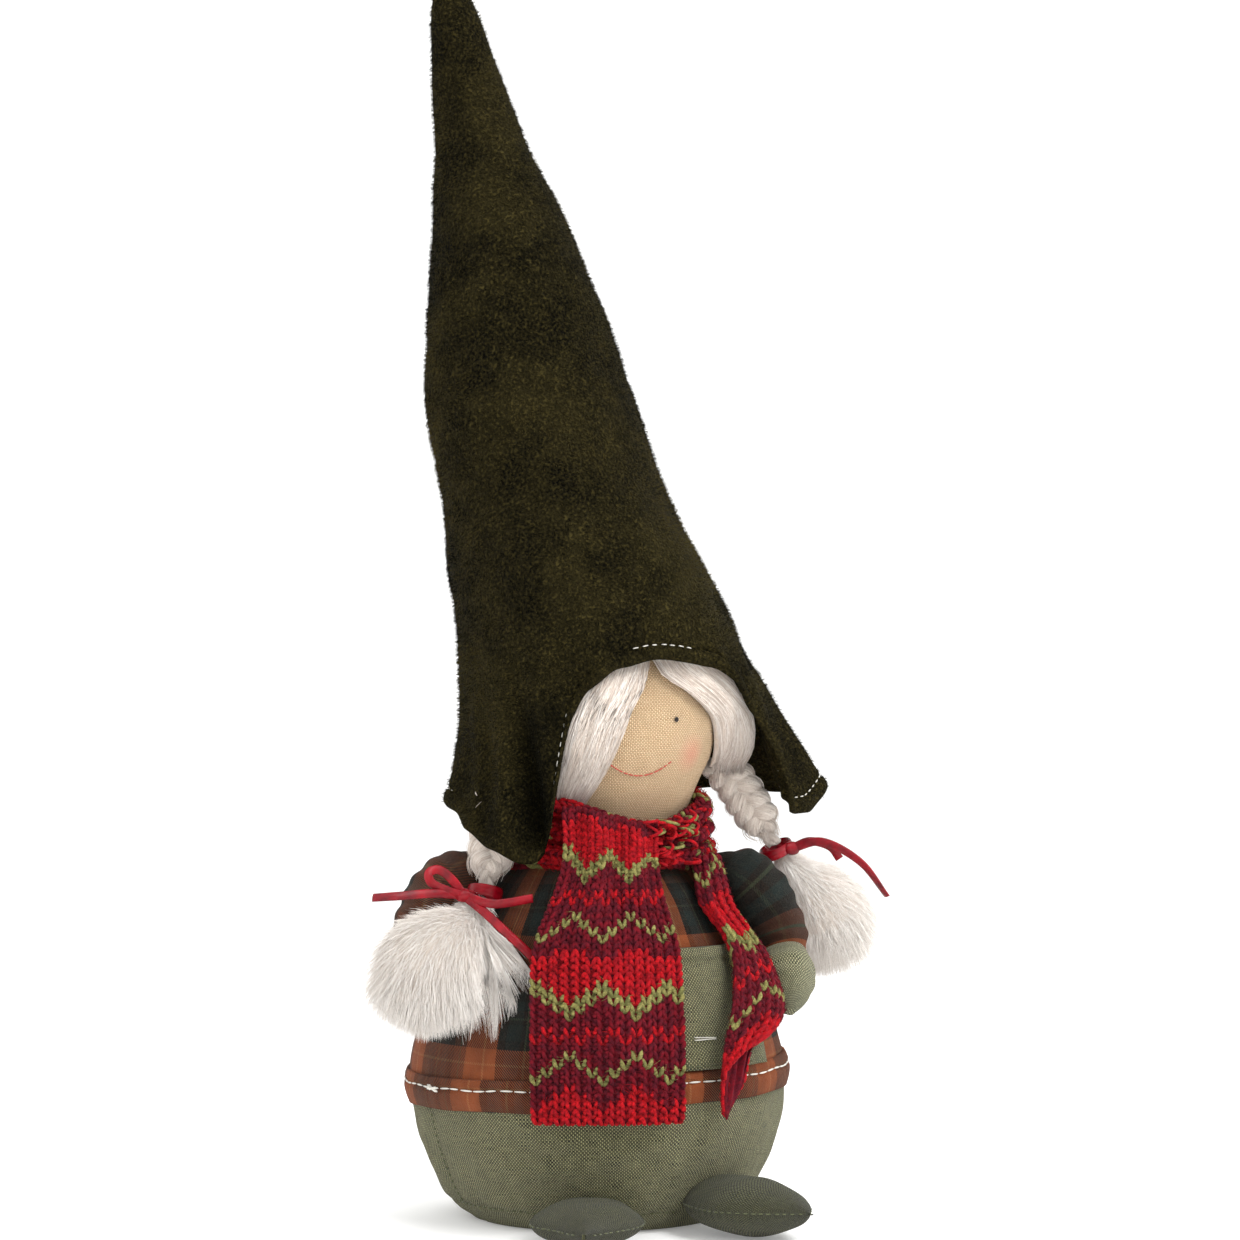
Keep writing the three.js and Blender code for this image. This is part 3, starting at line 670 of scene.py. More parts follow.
def satin_paint():
    """Red satin: fine threads across a smooth, shining face."""
    paint = Paint("satin_red", roughness=0.24, shine=0.35)
    paint.shader.inputs["Anisotropic"].default_value = 0.5
    _, along = paint.cloth()
    ribs = paint.math("SINE", paint.times(along, 14.0))
    # painted highlight: noise mixes patches of brighter red into the darker red for the satin's shine
    paint.colour_from(paint.mix(paint.noise(6, 2), srgb(96, 0, 14), srgb(158, 2, 24)))
    paint.bump(ribs, 0.05)
    return paint


def face_paint():
    """Cream linen with a soft blush on each cheek."""
    paint = linen_paint("face_linen", srgb(194, 156, 114), srgb(246, 221, 182), srgb(214, 178, 138), 0.42)
    colour = paint.shader.inputs["Base Color"].links[0].from_socket
    for azimuth in CHEEKS:
        spot = polar(head_radius(CHEEK_HEIGHT), azimuth, CHEEK_HEIGHT, HEAD_AT)
        colour = paint.patch(colour, spot, CHEEK_SIZE, 0.45, srgb(226, 128, 110))
    paint.colour_from(colour)
    return paint


def fibre_paint():
    """Loose white filling."""
    paint = Paint("stuffing_fibre", roughness=1.0)
    paint.colour_from(paint.mix(paint.noise(2, 4), (0.72, 0.71, 0.68), (0.9, 0.89, 0.86)))
    paint.bump(paint.noise(1.2, 4), 0.8)
    return paint


def card_paint():
    """Grey-brown pasteboard."""
    paint = Paint("card", roughness=0.95)
    paint.colour_from(paint.mix(paint.noise(0.6, 4), (0.36, 0.27, 0.17), (0.5, 0.4, 0.27)))
    return paint


def sandbag_paint():
    """A coarse calico bag of grain."""
    paint = Paint("ballast", roughness=0.95)
    grains = paint.noise(2.2, 1)
    paint.colour_from(paint.mix(grains, (0.4, 0.33, 0.2), (0.6, 0.52, 0.36)))
    paint.bump(grains, 0.8)
    return paint


def dyed(name, colours, roughness, sheen, tint=(1, 1, 1), shine=0.25, glow=0.0):
    """Plain materials in three shades, for fibres too fine to show a pattern of their own."""
    return [
        Paint(f"{name}_{number}", colour, roughness, sheen, tint, shine).glow(glow)
        for number, colour in enumerate(colours)
    ]


make_camera()
make_studio()

# painted shade: this copy of the green linen is darker than the mittens' copy, for the shade on the body
LINEN = linen_paint("linen_green", srgb(18, 22, 9), srgb(188, 184, 134), srgb(72, 74, 44))
# painted light: the same green linen, lighter, for the mittens where light falls on them
LINEN_MITTEN_LIT = linen_paint("linen_green_mitten_lit", srgb(54, 59, 36), srgb(214, 210, 166), srgb(96, 98, 66))
# painted shade: the same green linen, darker, for the feet low down in shade
LINEN_FOOT_SHADED = linen_paint("linen_green_foot_shaded", srgb(14, 17, 7), srgb(116, 116, 78), srgb(42, 44, 25))
FACE_LINEN = face_paint()
PLAID = plaid_paint("flannel_plaid", (1, -9), (1, 0), 0.42)
PLAID_SLEEVE = plaid_paint("flannel_plaid_sleeve", (-0.45, 62), (0.5, 16), 0.72)
PLUSH_PILE = plush_paint()
PILE_TIPS = dyed(
    "pile_tip", [srgb(6, 6, 2), srgb(25, 23, 9), srgb(66, 58, 30)], 1.0, 0.02, srgb(120, 112, 60), 0.06)
WOOL = wool_paint()
# painted light: the wool hairs and the fur hairs glow faintly, for brighter white hair
WOOL_HAIRS = dyed(
    "wool_hair", [srgb(206, 190, 177), srgb(228, 215, 203), srgb(246, 238, 230)], 0.7, 0.2, glow=0.015)
FUR_HAIRS = dyed(
    "fur_hair", [srgb(228, 220, 212), srgb(240, 233, 226), srgb(250, 246, 241)], 0.7, 0.2, glow=0.03)
YARN_RED = yarn_paint("yarn_red", srgb(188, 8, 22), srgb(112, 4, 20), 0.6)
YARN_WINE = yarn_paint("yarn_wine", srgb(84, 5, 24), srgb(136, 6, 24), 0.45)
YARN_OLIVE = yarn_paint("yarn_olive", srgb(150, 144, 84), srgb(66, 74, 40), 0.6)
YARNS = [YARN_RED, YARN_WINE, YARN_OLIVE]
SATIN = satin_paint()
WHITE_THREAD = thread_paint("thread_white", srgb(232, 228, 218))
DARK_THREAD = thread_paint("thread_dark", srgb(44, 36, 34))
RED_THREAD = thread_paint("thread_red", srgb(196, 84, 70))
GREEN_THREAD = thread_paint("thread_green", srgb(92, 96, 66))


AROUND = 144                     # points round the body and the head
THREAD_SIDES = 6


def stitches(shape, line, length, gap, radius, seed, wander=0.25):
    """Running stitches along a line of points: short dashes of thread that dip into the cloth."""
    rng = np.random.default_rng(seed)
    run = lengths_along(line)
    steps = 5
    starts = np.arange(gap, run[-1] - length, length + gap)
    dashes = []
    for start in starts:
        at = start + rng.uniform(-wander, wander) + np.linspace(0, length * rng.uniform(0.85, 1.1), steps)
        dashes.append(look_up(at, run, line))
    slim = radius * np.array([0.55, 0.95, 1.0, 0.95, 0.55])
    return shape.tubes(np.array(dashes), slim, THREAD_SIDES)


# ---- the body ----


def turns(count=AROUND):
    """Evenly spaced azimuths all the way round."""
    return np.arange(count) * 360 / count - 180


def cloth_thickness(outer, thickness):
    """A closed ring of cloth: the outer surface, then back down the inner one."""
    inner = outer - normals_of(outer) * thickness
    return np.concatenate([outer, inner[::-1]])


def hem_height(azimuth, height):
    """A height on the tilted hem: lower at the gnome's right than at its left."""
    lean = np.sin(np.radians(azimuth - CAMERA_AZIMUTH))
    return height + HEM_TILT * np.where(lean < 0, lean, 0.7 * lean)


def make_lower_cover():
    """The linen cover of the belly, drawn in at its side seams and round the base."""
    rows = 60
    azimuth = turns()[None]
    z = np.linspace(0.3, WAIST, rows)[:, None] + 0 * azimuth
    radius = body_radius(z) - 0.2
    side_seam = np.abs((azimuth - SIDE_SEAM + 180) % 360 - 180)
    radius = radius - 0.9 * hump(side_seam, 0, 1.6) * (z < WAIST)
    radius = radius - 0.8 * hump(z, BASE_SEAM, 1.2)
    points = polar(radius, azimuth, z)
    pucker = np.sin(np.radians(azimuth) * 41) * np.exp(-np.abs(z - BASE_SEAM) / 6)
    swell = 0.7 * lumps(points, 34, 3) + 0.3 * lumps(points, 12, 4) + 0.35 * pucker
    points = points + normals_of(points) * swell[..., None] * ease(z / 6)[..., None]
    floor = np.minimum(points[:1], [np.inf, np.inf, 0.3])
    closing = [floor * [share, share, 1] for share in (0.02, 0.9)]
    roof = [points[-1:] * [share, share, 1] for share in (0.9, 0.02)]
    shape = Shape().turned(np.concatenate([*closing, points, *roof]))
    item = shape.make("lower_cover_cloth", [LINEN], "root", "linen_green", ["lower_cover"])
    seams = Shape()
    for azimuth, seed in ((SIDE_SEAM, 5), (SIDE_SEAM + 180, 6)):
        heights = np.linspace(BASE_SEAM, HEM_LOW, 40)
        line = polar(body_radius(heights) - 0.35, azimuth + 0.35 * np.sin(heights / 5), heights)
        stitches(seams, line, 1.7, 1.1, 0.34, seed)
    circle = polar(body_radius(BASE_SEAM) - 0.45, np.append(turns(), 180), BASE_SEAM)
    stitches(seams, circle, 1.8, 1.3, 0.34, 7)
    seams.make("lower_cover_seams", [GREEN_THREAD], "root", "linen_green")


def make_coat():
    """The flannel coat from the waist to the neck, gathered at the top."""
    rows = 70
    azimuth = turns()[None]
    z = np.linspace(WAIST + GAP, NECK, rows)[:, None] + 0 * azimuth
    points = polar(body_radius(z) - 0.1, azimuth, z)
    gather = np.sin(np.radians(azimuth) * 17 + 2) * ease((z - 118) / 30)
    swell = 0.8 * lumps(points, 30, 8) + 0.3 * lumps(points, 11, 9) + 0.9 * gather
    swell = swell * ease((z - WAIST) / 12)
    points = points + normals_of(points) * (swell[..., None] * 0.6)
    shape = Shape().turned(cloth_thickness(points, 1.4), ring=True)
    item = shape.make("coat_cloth", [PLAID], "root", "flannel_plaid", ["coat_cover"])


def make_hem():
    """The coat's turned-up hem, with its topstitching and one loose knot of thread."""
    rows = 18
    azimuth = turns()[None]
    share = np.linspace(0, 1, rows)[:, None] + 0 * azimuth
    low, high = hem_height(azimuth, HEM_LOW), hem_height(azimuth, HEM_HIGH)
    z = low + (high - low) * share
    stitch_share = (HEM_STITCH - HEM_LOW) / (HEM_HIGH - HEM_LOW)
    puff = HEM_THICK * (0.15 + 0.7 * np.sin(math.pi * np.clip(share, 0.04, 0.98)) ** 0.6)
    groove = 0.8 * hump(share, stitch_share, 0.07)
    pucker = 0.35 * np.sin(np.radians(azimuth) * 53) * hump(share, stitch_share, 0.3)
    wave = 0.7 * np.sin(np.radians(azimuth) * 5 + 1) + 0.5 * np.sin(np.radians(azimuth) * 11)
    outer = polar(body_radius(z) + 0.5 + puff - groove + pucker, azimuth, z + 0.5 * wave * (1 - share))
    inner = polar(body_radius(z) - 0.3, azimuth, z)
    shape = Shape().turned(np.concatenate([outer, inner[::-1]]), ring=True)
    item = shape.make("hem_band_cloth", [PLAID], "root", "flannel_plaid", ["hem_band"])
    angles = np.append(turns(), 180)
    heights = hem_height(angles, HEM_STITCH)
    waver = 0.25 * np.sin(np.radians(angles) * 19)
    line = polar(body_radius(heights) + 0.5 + 0.72 * HEM_THICK, angles, heights + waver)
    threads = stitches(Shape(), line, 5.2, 1.1, 0.36, 11)
    rng = np.random.default_rng(12)
    knot = polar(body_radius(HEM_STITCH) + 3.6, KNOT_AZIMUTH, hem_height(KNOT_AZIMUTH, HEM_STITCH))
    tangle = []
    for _ in range(7):
        way = direction(KNOT_AZIMUTH + 90) * rng.uniform(-4.5, 4.5) + [0, 0, rng.uniform(-1.0, 1.2)]
        bulge = direction(KNOT_AZIMUTH) * rng.uniform(0.2, 1.3)
        bent = [knot - way, knot - way * 0.2 + bulge, knot + way * 0.5 + bulge * 0.3, knot + way]
        tangle.append(catmull(bent, 12))
    threads.tubes(np.array(tangle), 0.38, THREAD_SIDES)
    threads.make("hem_topstitch_thread", [WHITE_THREAD], "root", "thread_white", ["hem_topstitch"])


def make_pocket():
    """The linen panel on the belly, with a folded top edge, a pucker and a few loose threads."""
    columns, rows = 60, 44
    azimuth = np.linspace(-POCKET_EDGE, POCKET_EDGE, columns)[None]
    z = np.linspace(POCKET_LOW, POCKET_HIGH, rows)[:, None]
    edge = np.minimum(1 - np.abs(azimuth) / POCKET_EDGE, (z - POCKET_LOW) / (POCKET_HIGH - POCKET_LOW - 0.5))
    edge = np.minimum(1, 12 * edge)
    fold = 0.8 * hump(z, POCKET_HIGH - 5, 1.1) - 1.1 * ease((z - POCKET_HIGH + 5) / 2)
    pucker = hump(azimuth, 27 + 0.12 * (z - 85), 2.2) * ease((z - 70) / 18)
    points = polar(body_radius(z) + 2.2 + 0.8 * ease(edge) - fold - 1.6 * pucker, azimuth, z)
    points = points + 0.35 * normals_of(points, wrap=False) * lumps(points, 14, 14)[..., None]
    inner = polar(body_radius(z) + 0.6 + 0 * azimuth, azimuth, z)
    shape = Shape().slab(points, inner)
    item = shape.make("front_pocket_cloth", [LINEN], "root", "linen_green", ["front_pocket"])
    threads = Shape()
    seam_at = POCKET_LOW + 1.6
    line = polar(body_radius(seam_at) + 3.3, np.linspace(-POCKET_EDGE, POCKET_EDGE, 40), seam_at)
    stitches(threads, line, 2.4, 1.6, 0.3, 15)
    for rise in (0, 1.1):
        ends = np.linspace(6, 13.5, 8)
        heights = LOOSE_THREAD + rise * (1.4 - ends / 14)
        line = polar(body_radius(LOOSE_THREAD) + 4.0 + 0.3 * np.sin(ends), ends, heights)
        threads.tubes(line[None], 0.2, THREAD_SIDES, 1)
    seam = threads.make("front_pocket_threads", [GREEN_THREAD, WHITE_THREAD], "root", "thread_white")


def make_foot(name, side):
    """A leaf of two linen faces, seamed round its edge and filled."""
    half = FOOT_LENGTH / 2
    stations, sides = 56, 64
    share = np.linspace(-0.99, 0.99, stations)
    taper = np.where(share > 0, 1.35, 0.8)
    width = FOOT_WIDTH / 2 * (1 - share**2) ** taper
    turn = turns_of(sides)
    edge = np.abs(np.cos(turn)) ** 10
    tall = (FOOT_HEIGHT - (FOOT_FLATTER if side < 0 else 0)) / 2 * (1 - share**2) ** (0.8 * taper)
    across = width[:, None] * np.cos(turn)
    up = tall[:, None] * np.sign(np.sin(turn)) * np.abs(np.sin(turn)) ** 1.3
    forward = -(FOOT_CENTRE + share[:, None] * half) + 0 * across
    points = np.stack([across, forward, up + tall.max() + GAP], -1)
    a = math.radians(side * FOOT_SPLAY[side])
    spun = points.copy()
    spun[..., 0] = points[..., 0] * math.cos(a) - points[..., 1] * math.sin(a)
    spun[..., 1] = points[..., 0] * math.sin(a) + points[..., 1] * math.cos(a)
    swell = 0.7 * lumps(spun, 15, 20 + side) - 0.4 * edge[None] * (1 + 0.9 * np.sin(share * 60))[:, None]
    outward = unit(spun - spun.mean(1, keepdims=True))
    spun = spun + outward * swell[..., None]
    spun[..., 2] = np.maximum(spun[..., 2], 0.4)
    reach = np.linalg.norm(spun[..., :2], axis=-1)
    wanted = body_radius(np.clip(spun[..., 2], 0, WAIST)) + 0.2
    push = np.maximum(reach, wanted) / reach
    spun[..., :2] *= push[..., None]
    item = Shape().turned(spun).make(f"{name}_cloth", [LINEN_FOOT_SHADED], "root", "linen_green", [name])
    threads = Shape()
    for edge_turn in (0, sides // 2):
        line = spun[6:-2, edge_turn] + outward[6:-2, edge_turn] * 0.2
        stitches(threads, line, 1.8, 1.3, 0.3, 22)
    threads.make(f"{name}_seam", [GREEN_THREAD], "root", "linen_green")


# ---- arms ----
# An arm's middle line as [azimuth, radius, z], from the shoulder to the end of the mitten.
ARM_LINES = {
    "left": [
        (66, 47, 142), (66, 60.5, 131), (65, 70.5, 117), (62, 75, 103), (56, 77, 92), (50, 79.5, 82),
    ],
    "right": [
        (-97, 47, 142), (-97, 60.5, 131), (-97, 70.5, 117), (-97, 75.5, 103), (-97, 79, 90), (-97, 81, 80),
    ],
}
CUFF = 0.62                      # share of the arm's line that the sleeve covers
# half width at shares of each piece's own length
SLEEVE_HALF = [(3, 0), (13, 0.08), (16.4, 0.25), (17, 0.5), (15.4, 0.8), (14, 0.92), (10.5, 1)]
MITTEN_HALF = [(10, 0), (14, 0.12), (15.2, 0.35), (13.6, 0.6), (10, 0.85), (2.6, 1)]


def along_arm(line, start, end, profile, flat, seed, wrinkle):
    """A stuffed tube along part of an arm's line, from a profile of [half width, share]."""
    rows, sides = 60, 56
    fine = even([polar(r, a, z) for a, r, z in line], 200)
    share = np.linspace(start, end, rows)
    centre = look_up(share, np.linspace(0, 1, len(fine)), fine)
    half = catmull(profile, rows)[:, 0]
    tangent = unit(np.gradient(centre, axis=0))
    towards = direction(line[2][0])
    out = unit(towards - tangent * (tangent @ towards)[:, None])
    aside = np.cross(out, tangent)
    turn = turns_of(sides)
    ring = flat * np.cos(turn)[None, :, None] * out[:, None] + np.sin(turn)[None, :, None] * aside[:, None]
    points = centre[:, None] + half[:, None, None] * ring
    folds = np.sin(share[:, None] * 70 + 1.5 * np.sin(turn * 2 + seed)[None]) * wrinkle
    swell = 0.7 * lumps(points, 15, seed) + folds
    thick = np.minimum(1, half / half.max() * 1.5)[:, None, None]
    return points + unit(points - centre[:, None]) * swell[..., None] * thick * 0.8


def make_arm(side):
    """A flannel sleeve that bends at the shoulder, and the linen mitten in its end."""
    line = ARM_LINES[side]
    body = f"arm_{side}"
    sleeve = along_arm(line, 0.0, CUFF + 0.02, SLEEVE_HALF, 0.8, 31, 0.5)
    name = f"sleeve_{side}"
    item = Shape().turned(sleeve).make(f"{name}_cloth", [PLAID_SLEEVE], None, "flannel_plaid", [name])
    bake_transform(item)
    mitten = along_arm(line, CUFF - 0.03, 0.995, MITTEN_HALF, 0.74, 33, 0.3)
    name = f"mitten_{side}"
    hand = Shape().turned(mitten).make(f"{name}_cloth", [LINEN_MITTEN_LIT], body, "linen_green", [name])


# ---- the head ----
FACE_AZIMUTH = -6
EYE_HEIGHT, EYE_TURN = 198, 20
SMILE_HEIGHT, SMILE_RISE, SMILE_TURN = 176, 6, 20


def on_face(azimuth, z, proud):
    """Points on the face, lifted off the linen."""
    return polar(head_radius(z) + proud, azimuth, z, HEAD_AT)


def make_head():
    """The stuffed linen head."""
    azimuth = turns()[None]
    line = even(HEAD_OUTLINE, 74)
    radius, z = line[:, :1] + 0 * azimuth, line[:, 1:] + 0 * azimuth
    points = polar(np.maximum(radius, 0.1), azimuth, z, HEAD_AT)
    swell = 0.35 * lumps(points, 26, 40) + 0.12 * lumps(points, 9, 41)
    points = points + normals_of(points) * swell[..., None]
    axis = np.array([*HEAD_AT, 0])
    base = points[:1] * [0, 0, 1] + axis + 0.02 * (points[:1] - axis) * [1, 1, 0]
    item = Shape().turned(np.concatenate([base, points])).make(
        "head_cloth", [FACE_LINEN], "root", "linen_face", ["head_cover"])


def make_face():
    """Two small knots for eyes, and a smile in backstitch."""
    for name, side in (("left", 1), ("right", -1)):
        azimuth = FACE_AZIMUTH + side * EYE_TURN
        centre = on_face(azimuth, EYE_HEIGHT, 0.35)
        aside, up = direction(azimuth + 90), np.array([0, 0, 1.0])
        turn = np.linspace(0, 4 * math.pi, 30)
        reach = 0.25 + 0.55 * turn / turn.max()
        coil = centre + reach[:, None] * (np.cos(turn)[:, None] * aside + np.sin(turn)[:, None] * up)
        coil = coil + direction(azimuth) * (0.5 * (1 - turn / turn.max()))[:, None]
        knot = Shape().tubes(coil[None], 0.36, 8)
        knot.make(f"eye_{name}_knot", [DARK_THREAD], "root", "thread_dark", [f"eye_{name}"])
    share = np.linspace(-1, 1, 60)
    line = on_face(FACE_AZIMUTH + share * SMILE_TURN, SMILE_HEIGHT + SMILE_RISE * share**2, 0.22)
    smile = stitches(Shape(), line, 1.9, 0.25, 0.3, 44, 0.1)
    smile.make("smile_stitches", [RED_THREAD], "root", "thread_red", ["smile_thread"])


# ---- hair ----
# Each lock's inner edge, by the face, and outer edge, under the hat, as [azimuth, z] from the crown down.
LOCK_EDGES = {
    "right": (
        [(0, 232), (-5, 219), (-9, 211), (-15, 202), (-20, 191), (-27, 178), (-38, 167), (-52, 158)],
        [(-70, 236), (-74, 226), (-78, 214), (-82, 202), (-86, 190), (-88, 180), (-88, 171), (-82, 165)],
    ),
    "left": (
        [(-1, 231), (6, 217), (19, 210), (36, 202), (45, 197), (53, 188), (60, 182), (67, 178)],
        [(62, 238), (66, 230), (70, 221), (74, 211), (77, 202), (79, 193), (80, 184), (80, 176)],
    ),
}
LOCK_HAIRS, PLAIT_HAIRS, TUFT_HAIRS, WISP_HAIRS = 2200, 420, 14000, 1100
LOCK_DEPTH = {"right": 7, "left": 9}
LOCK_TUCKED = {"right": 0.75, "left": 0}     # how much flatter a lock is under the hat's flap
LOCK_BILLOW = {"right": 2, "left": 14.5}      # how far the lower outer hair stands off the head


def lock_surface(side, across, down, lift):
    """A point on a lock of hair: across it from the face, down it from the crown, and lifted off the head."""
    steps = np.linspace(0, 1, 60)
    inner, outer = (look_up(down, steps, catmull(edge, len(steps))) for edge in LOCK_EDGES[side])
    at = inner + (outer - inner) * across[..., None]
    billow = LOCK_BILLOW[side] * ease(across * 1.6) * ease((down - 0.25) / 0.75)
    billow = billow * (1 - 0.7 * ease((across - 0.28) / 0.4))
    return polar(head_radius(np.minimum(at[..., 1], 244)) + lift + billow, at[..., 0], at[..., 1], HEAD_AT)


def make_lock(side):
    """Combed wool over a soft core, with hairs that follow its sweep."""
    deep, tucked = LOCK_DEPTH[side], LOCK_TUCKED[side]
    across = np.linspace(0, 1, 36)[None] + 0 * np.linspace(0, 1, 40)[:, None]
    down = np.linspace(0, 1, 40)[:, None] + 0 * across

    def loft(a, d):
        full = deep * np.sin(math.pi * np.clip(a, 0.02, 0.98)) ** 0.6 * (1 - tucked * ease((a - 0.25) / 0.25))
        return 1.0 + full * (0.35 + 0.65 * np.sin(math.pi * np.clip(d, 0.1, 0.95)))

    outer = lock_surface(side, across, down, loft(across, down) + 0.9)
    inner = lock_surface(side, across, down, 0.9)
    shape = Shape().slab(outer, inner)
    rng = np.random.default_rng(50 if side == "right" else 51)
    hairs, steps = LOCK_HAIRS, 14
    d = np.linspace(0.02, 1, steps)[None] * rng.uniform(0.82, 1.05, (hairs, 1))
    start = rng.uniform(-0.01, 1.0, (hairs, 1))
    a = start + 0.035 * np.sin(d * rng.uniform(3, 8, (hairs, 1)) + rng.uniform(0, 6.3, (hairs, 1)))
    on_head = np.minimum(d, 1)
    rise = loft(a, on_head) + 0.9 + rng.uniform(-0.4, 0.9, (hairs, 1)) + 0.5 * np.sin(d * 9 + start * 25)
    lines = lock_surface(side, a, on_head, rise)
    drop = np.maximum(d - 1, 0)[..., None] * 60
    lines = lines - drop * [0, 0, 1]
    radii = np.linspace(1, 0.35, steps)[None] * rng.uniform(0.1, 0.24, (hairs, 1))
    shape.hairs(lines, radii, rng.integers(0, 3, hairs))
    name = f"hair_lock_{side}"
    shape.make(f"{name}_wool", [WOOL, *WOOL_HAIRS], "root", "wool_white", [name])


# Each braid's middle line, then its fur tail's, from the top down.
BRAIDS = {
    "left": {
        "plait": [(50, -8, 181), (58, -9, 170), (68, -9.5, 155), (74, -10, 146)],
        "tail": [(76.5, -10, 141), (84, -8, 134), (97, -3, 118), (101, 0, 96)],
        "fluff": 23,
    },
    "right": {
        "plait": [(-48, -10, 167), (-50, -12, 156), (-51.5, -13.5, 144), (-54, -15.5, 133)],
        "tail": [(-55.5, -16.5, 127.5), (-63, -19.5, 120), (-81, -27, 105), (-87, -30, 81)],
        "fluff": 22.5,
    },
}
PLAIT_HALF, PLAIT_DEEP = 4.6, 2.4    # how far a strand swings sideways and in and out
STRAND_RADIUS = 4.3
CROSSING = 19                    # length of one full turn of a plait's strands


def frame_along(line, towards):
    """Unit vectors along, across and facing, at each point of a line."""
    tangent = unit(np.gradient(line, axis=0))
    facing = unit(towards - tangent * (tangent @ towards)[:, None])
    return tangent, np.cross(facing, tangent), facing


def make_plait(side):
    """Three thick strands of wool plaited together."""
    steps = 90
    line = even(BRAIDS[side]["plait"], steps)
    _, across, facing = frame_along(line, direction(CAMERA_AZIMUTH))
    run = lengths_along(line)
    shape = Shape()
    pinch = 1 - 0.63 * ease((run / run[-1] - 0.68) / 0.24)
    strands = []
    for number in range(3):
        phase = 2 * math.pi * (run / CROSSING + number / 3)
        path = line + across * (PLAIT_HALF * np.sin(phase) * pinch)[:, None]
        path = path + facing * (PLAIT_DEEP * np.sin(2 * phase) * pinch)[:, None]
        strands.append(path)
        radius = STRAND_RADIUS * pinch * (1 + 0.07 * np.sin(run * 0.9 + number))
        shape.tubes(path[None], radius[None], 18, 0, out=facing[None], flat=0.85)
    rng = np.random.default_rng(60)
    reach = 12
    wisps = []
    for _ in range(PLAIT_HAIRS):
        path = strands[rng.integers(3)]
        at = rng.integers(0, steps - reach - 1)
        turn = rng.uniform(0, 2 * math.pi)
        local = path[at:at + reach]
        _, aside, out = frame_along(local, direction(CAMERA_AZIMUTH))
        lift = STRAND_RADIUS * pinch[at] * (0.98 + 0.16 * np.linspace(0, 1, reach) * rng.uniform(0, 1.8))
        spin = turn + np.linspace(0, rng.uniform(-0.5, 0.9), reach)
        way = np.cos(spin)[:, None] * aside + 0.87 * np.sin(spin)[:, None] * out
        wisps.append(local + lift[:, None] * way)
    shape.hairs(np.array(wisps), np.linspace(0.15, 0.07, reach), rng.integers(0, 3, PLAIT_HAIRS))
    name = f"braid_{side}"
    shape.make(f"{name}_plait", [WOOL, *WOOL_HAIRS], "root", "wool_white", [name])


def add_wisps(shape, line, rng):
    """Long loose hairs that fall from the tie across the front of the right tail and past its end."""
    hairs, steps = WISP_HAIRS, 9
    aside, front = direction(CAMERA_AZIMUTH + 90), direction(CAMERA_AZIMUTH)
    spread = rng.beta(2, 2, (hairs, 1))
    s = np.linspace(0, 1, steps)[None]
    reach = rng.uniform(0.55, 1.0, (hairs, 1))
    sideways = (spread - 0.22) * 46 * ease(s * 1.1) * reach + 1.5 * np.sin(s * 5 + spread * 30)
    bulge = 21 * np.sin(math.pi * np.clip(s * reach * 0.95, 0, 1) * 0.62) + rng.uniform(-1, 1.5, (hairs, 1))
    drop = (52 + 16 * np.sin(spread * 23) * spread) * s * reach
    lines = line[2] + sideways[..., None] * aside + bulge[..., None] * front - drop[..., None] * [0, 0, 1]
    lines[..., 2] = np.maximum(lines[..., 2], 62)
    radii = np.linspace(1, 0.25, steps)[None] * rng.uniform(0.1, 0.17, (hairs, 1))
    shape.hairs(lines, radii, rng.integers(0, 3, hairs))


def make_tuft(side):
    """The loose end of a braid: a ball of long fur that hangs from the tie."""
    line = even(BRAIDS[side]["tail"], 60)
    fluff = BRAIDS[side]["fluff"]
    rng = np.random.default_rng(70 if side == "right" else 71)
    half = [(3.5, 0), (8, 0.04), (fluff * 0.74, 0.2), (fluff, 0.5), (fluff * 0.86, 0.8), (1.5, 1)]
    profile = catmull(half, 60)[:, 0]
    tangent, across, facing = frame_along(line, direction(CAMERA_AZIMUTH))
    sides = 40
    turn = turns_of(sides)
    ring = np.cos(turn)[None, :, None] * across[:, None] + np.sin(turn)[None, :, None] * facing[:, None]
    core = line[:, None] + ring * (profile * 0.84)[:, None, None]
    shape = Shape().turned(core)
    hairs, steps = TUFT_HAIRS, 4
    share = rng.beta(1.5, 1.25, hairs)
    at = share * 59
    low = np.minimum(at.astype(int), 58)
    part = (at - low)[:, None]

    def here(values):
        return values[low] * (1 - part) + values[low + 1] * part

    spin = rng.uniform(0, 2 * math.pi, hairs)
    clump = 0.05 * np.sin(spin * 11 + share * 31) + 0.04 * np.sin(spin * 23 - share * 17)
    out = unit(np.cos(spin)[:, None] * here(across) + np.sin(spin)[:, None] * here(facing))
    reach = here(profile[:, None])[:, 0]
    root = here(line) + out * (reach * 0.8)[:, None]
    length = (3.6 + reach * 0.24) * rng.uniform(0.6, 1.25, hairs) + 1.2 * clump
    sweep = rng.normal(0, 0.2, (hairs, 3)) + clump[:, None] * np.cross(out, here(tangent))
    way = unit(out * (0.75 - 0.35 * share[:, None]) + here(tangent) * (0.3 + 0.75 * share[:, None]) + sweep)
    s = np.linspace(0, 1, steps)[None, :, None]
    lines = root[:, None] + way[:, None] * length[:, None, None] * s
    lines = lines + (here(tangent)[:, None] + [0, 0, -0.5]) * (length[:, None, None] * 0.24) * s**2
    lines[..., 2] = np.maximum(lines[..., 2], 52)
    thick = np.array([1, 0.9, 0.65, 0.15])[None] * rng.uniform(0.07, 0.12, (hairs, 1))
    shape.hairs(lines, thick, rng.integers(0, 3, hairs))
    if side == "right":
        add_wisps(shape, line, rng)
    name = f"tuft_{side}"
    shape.make(f"{name}_fur", [WOOL, *FUR_HAIRS], f"tail_{side}", "fur_white", [name])


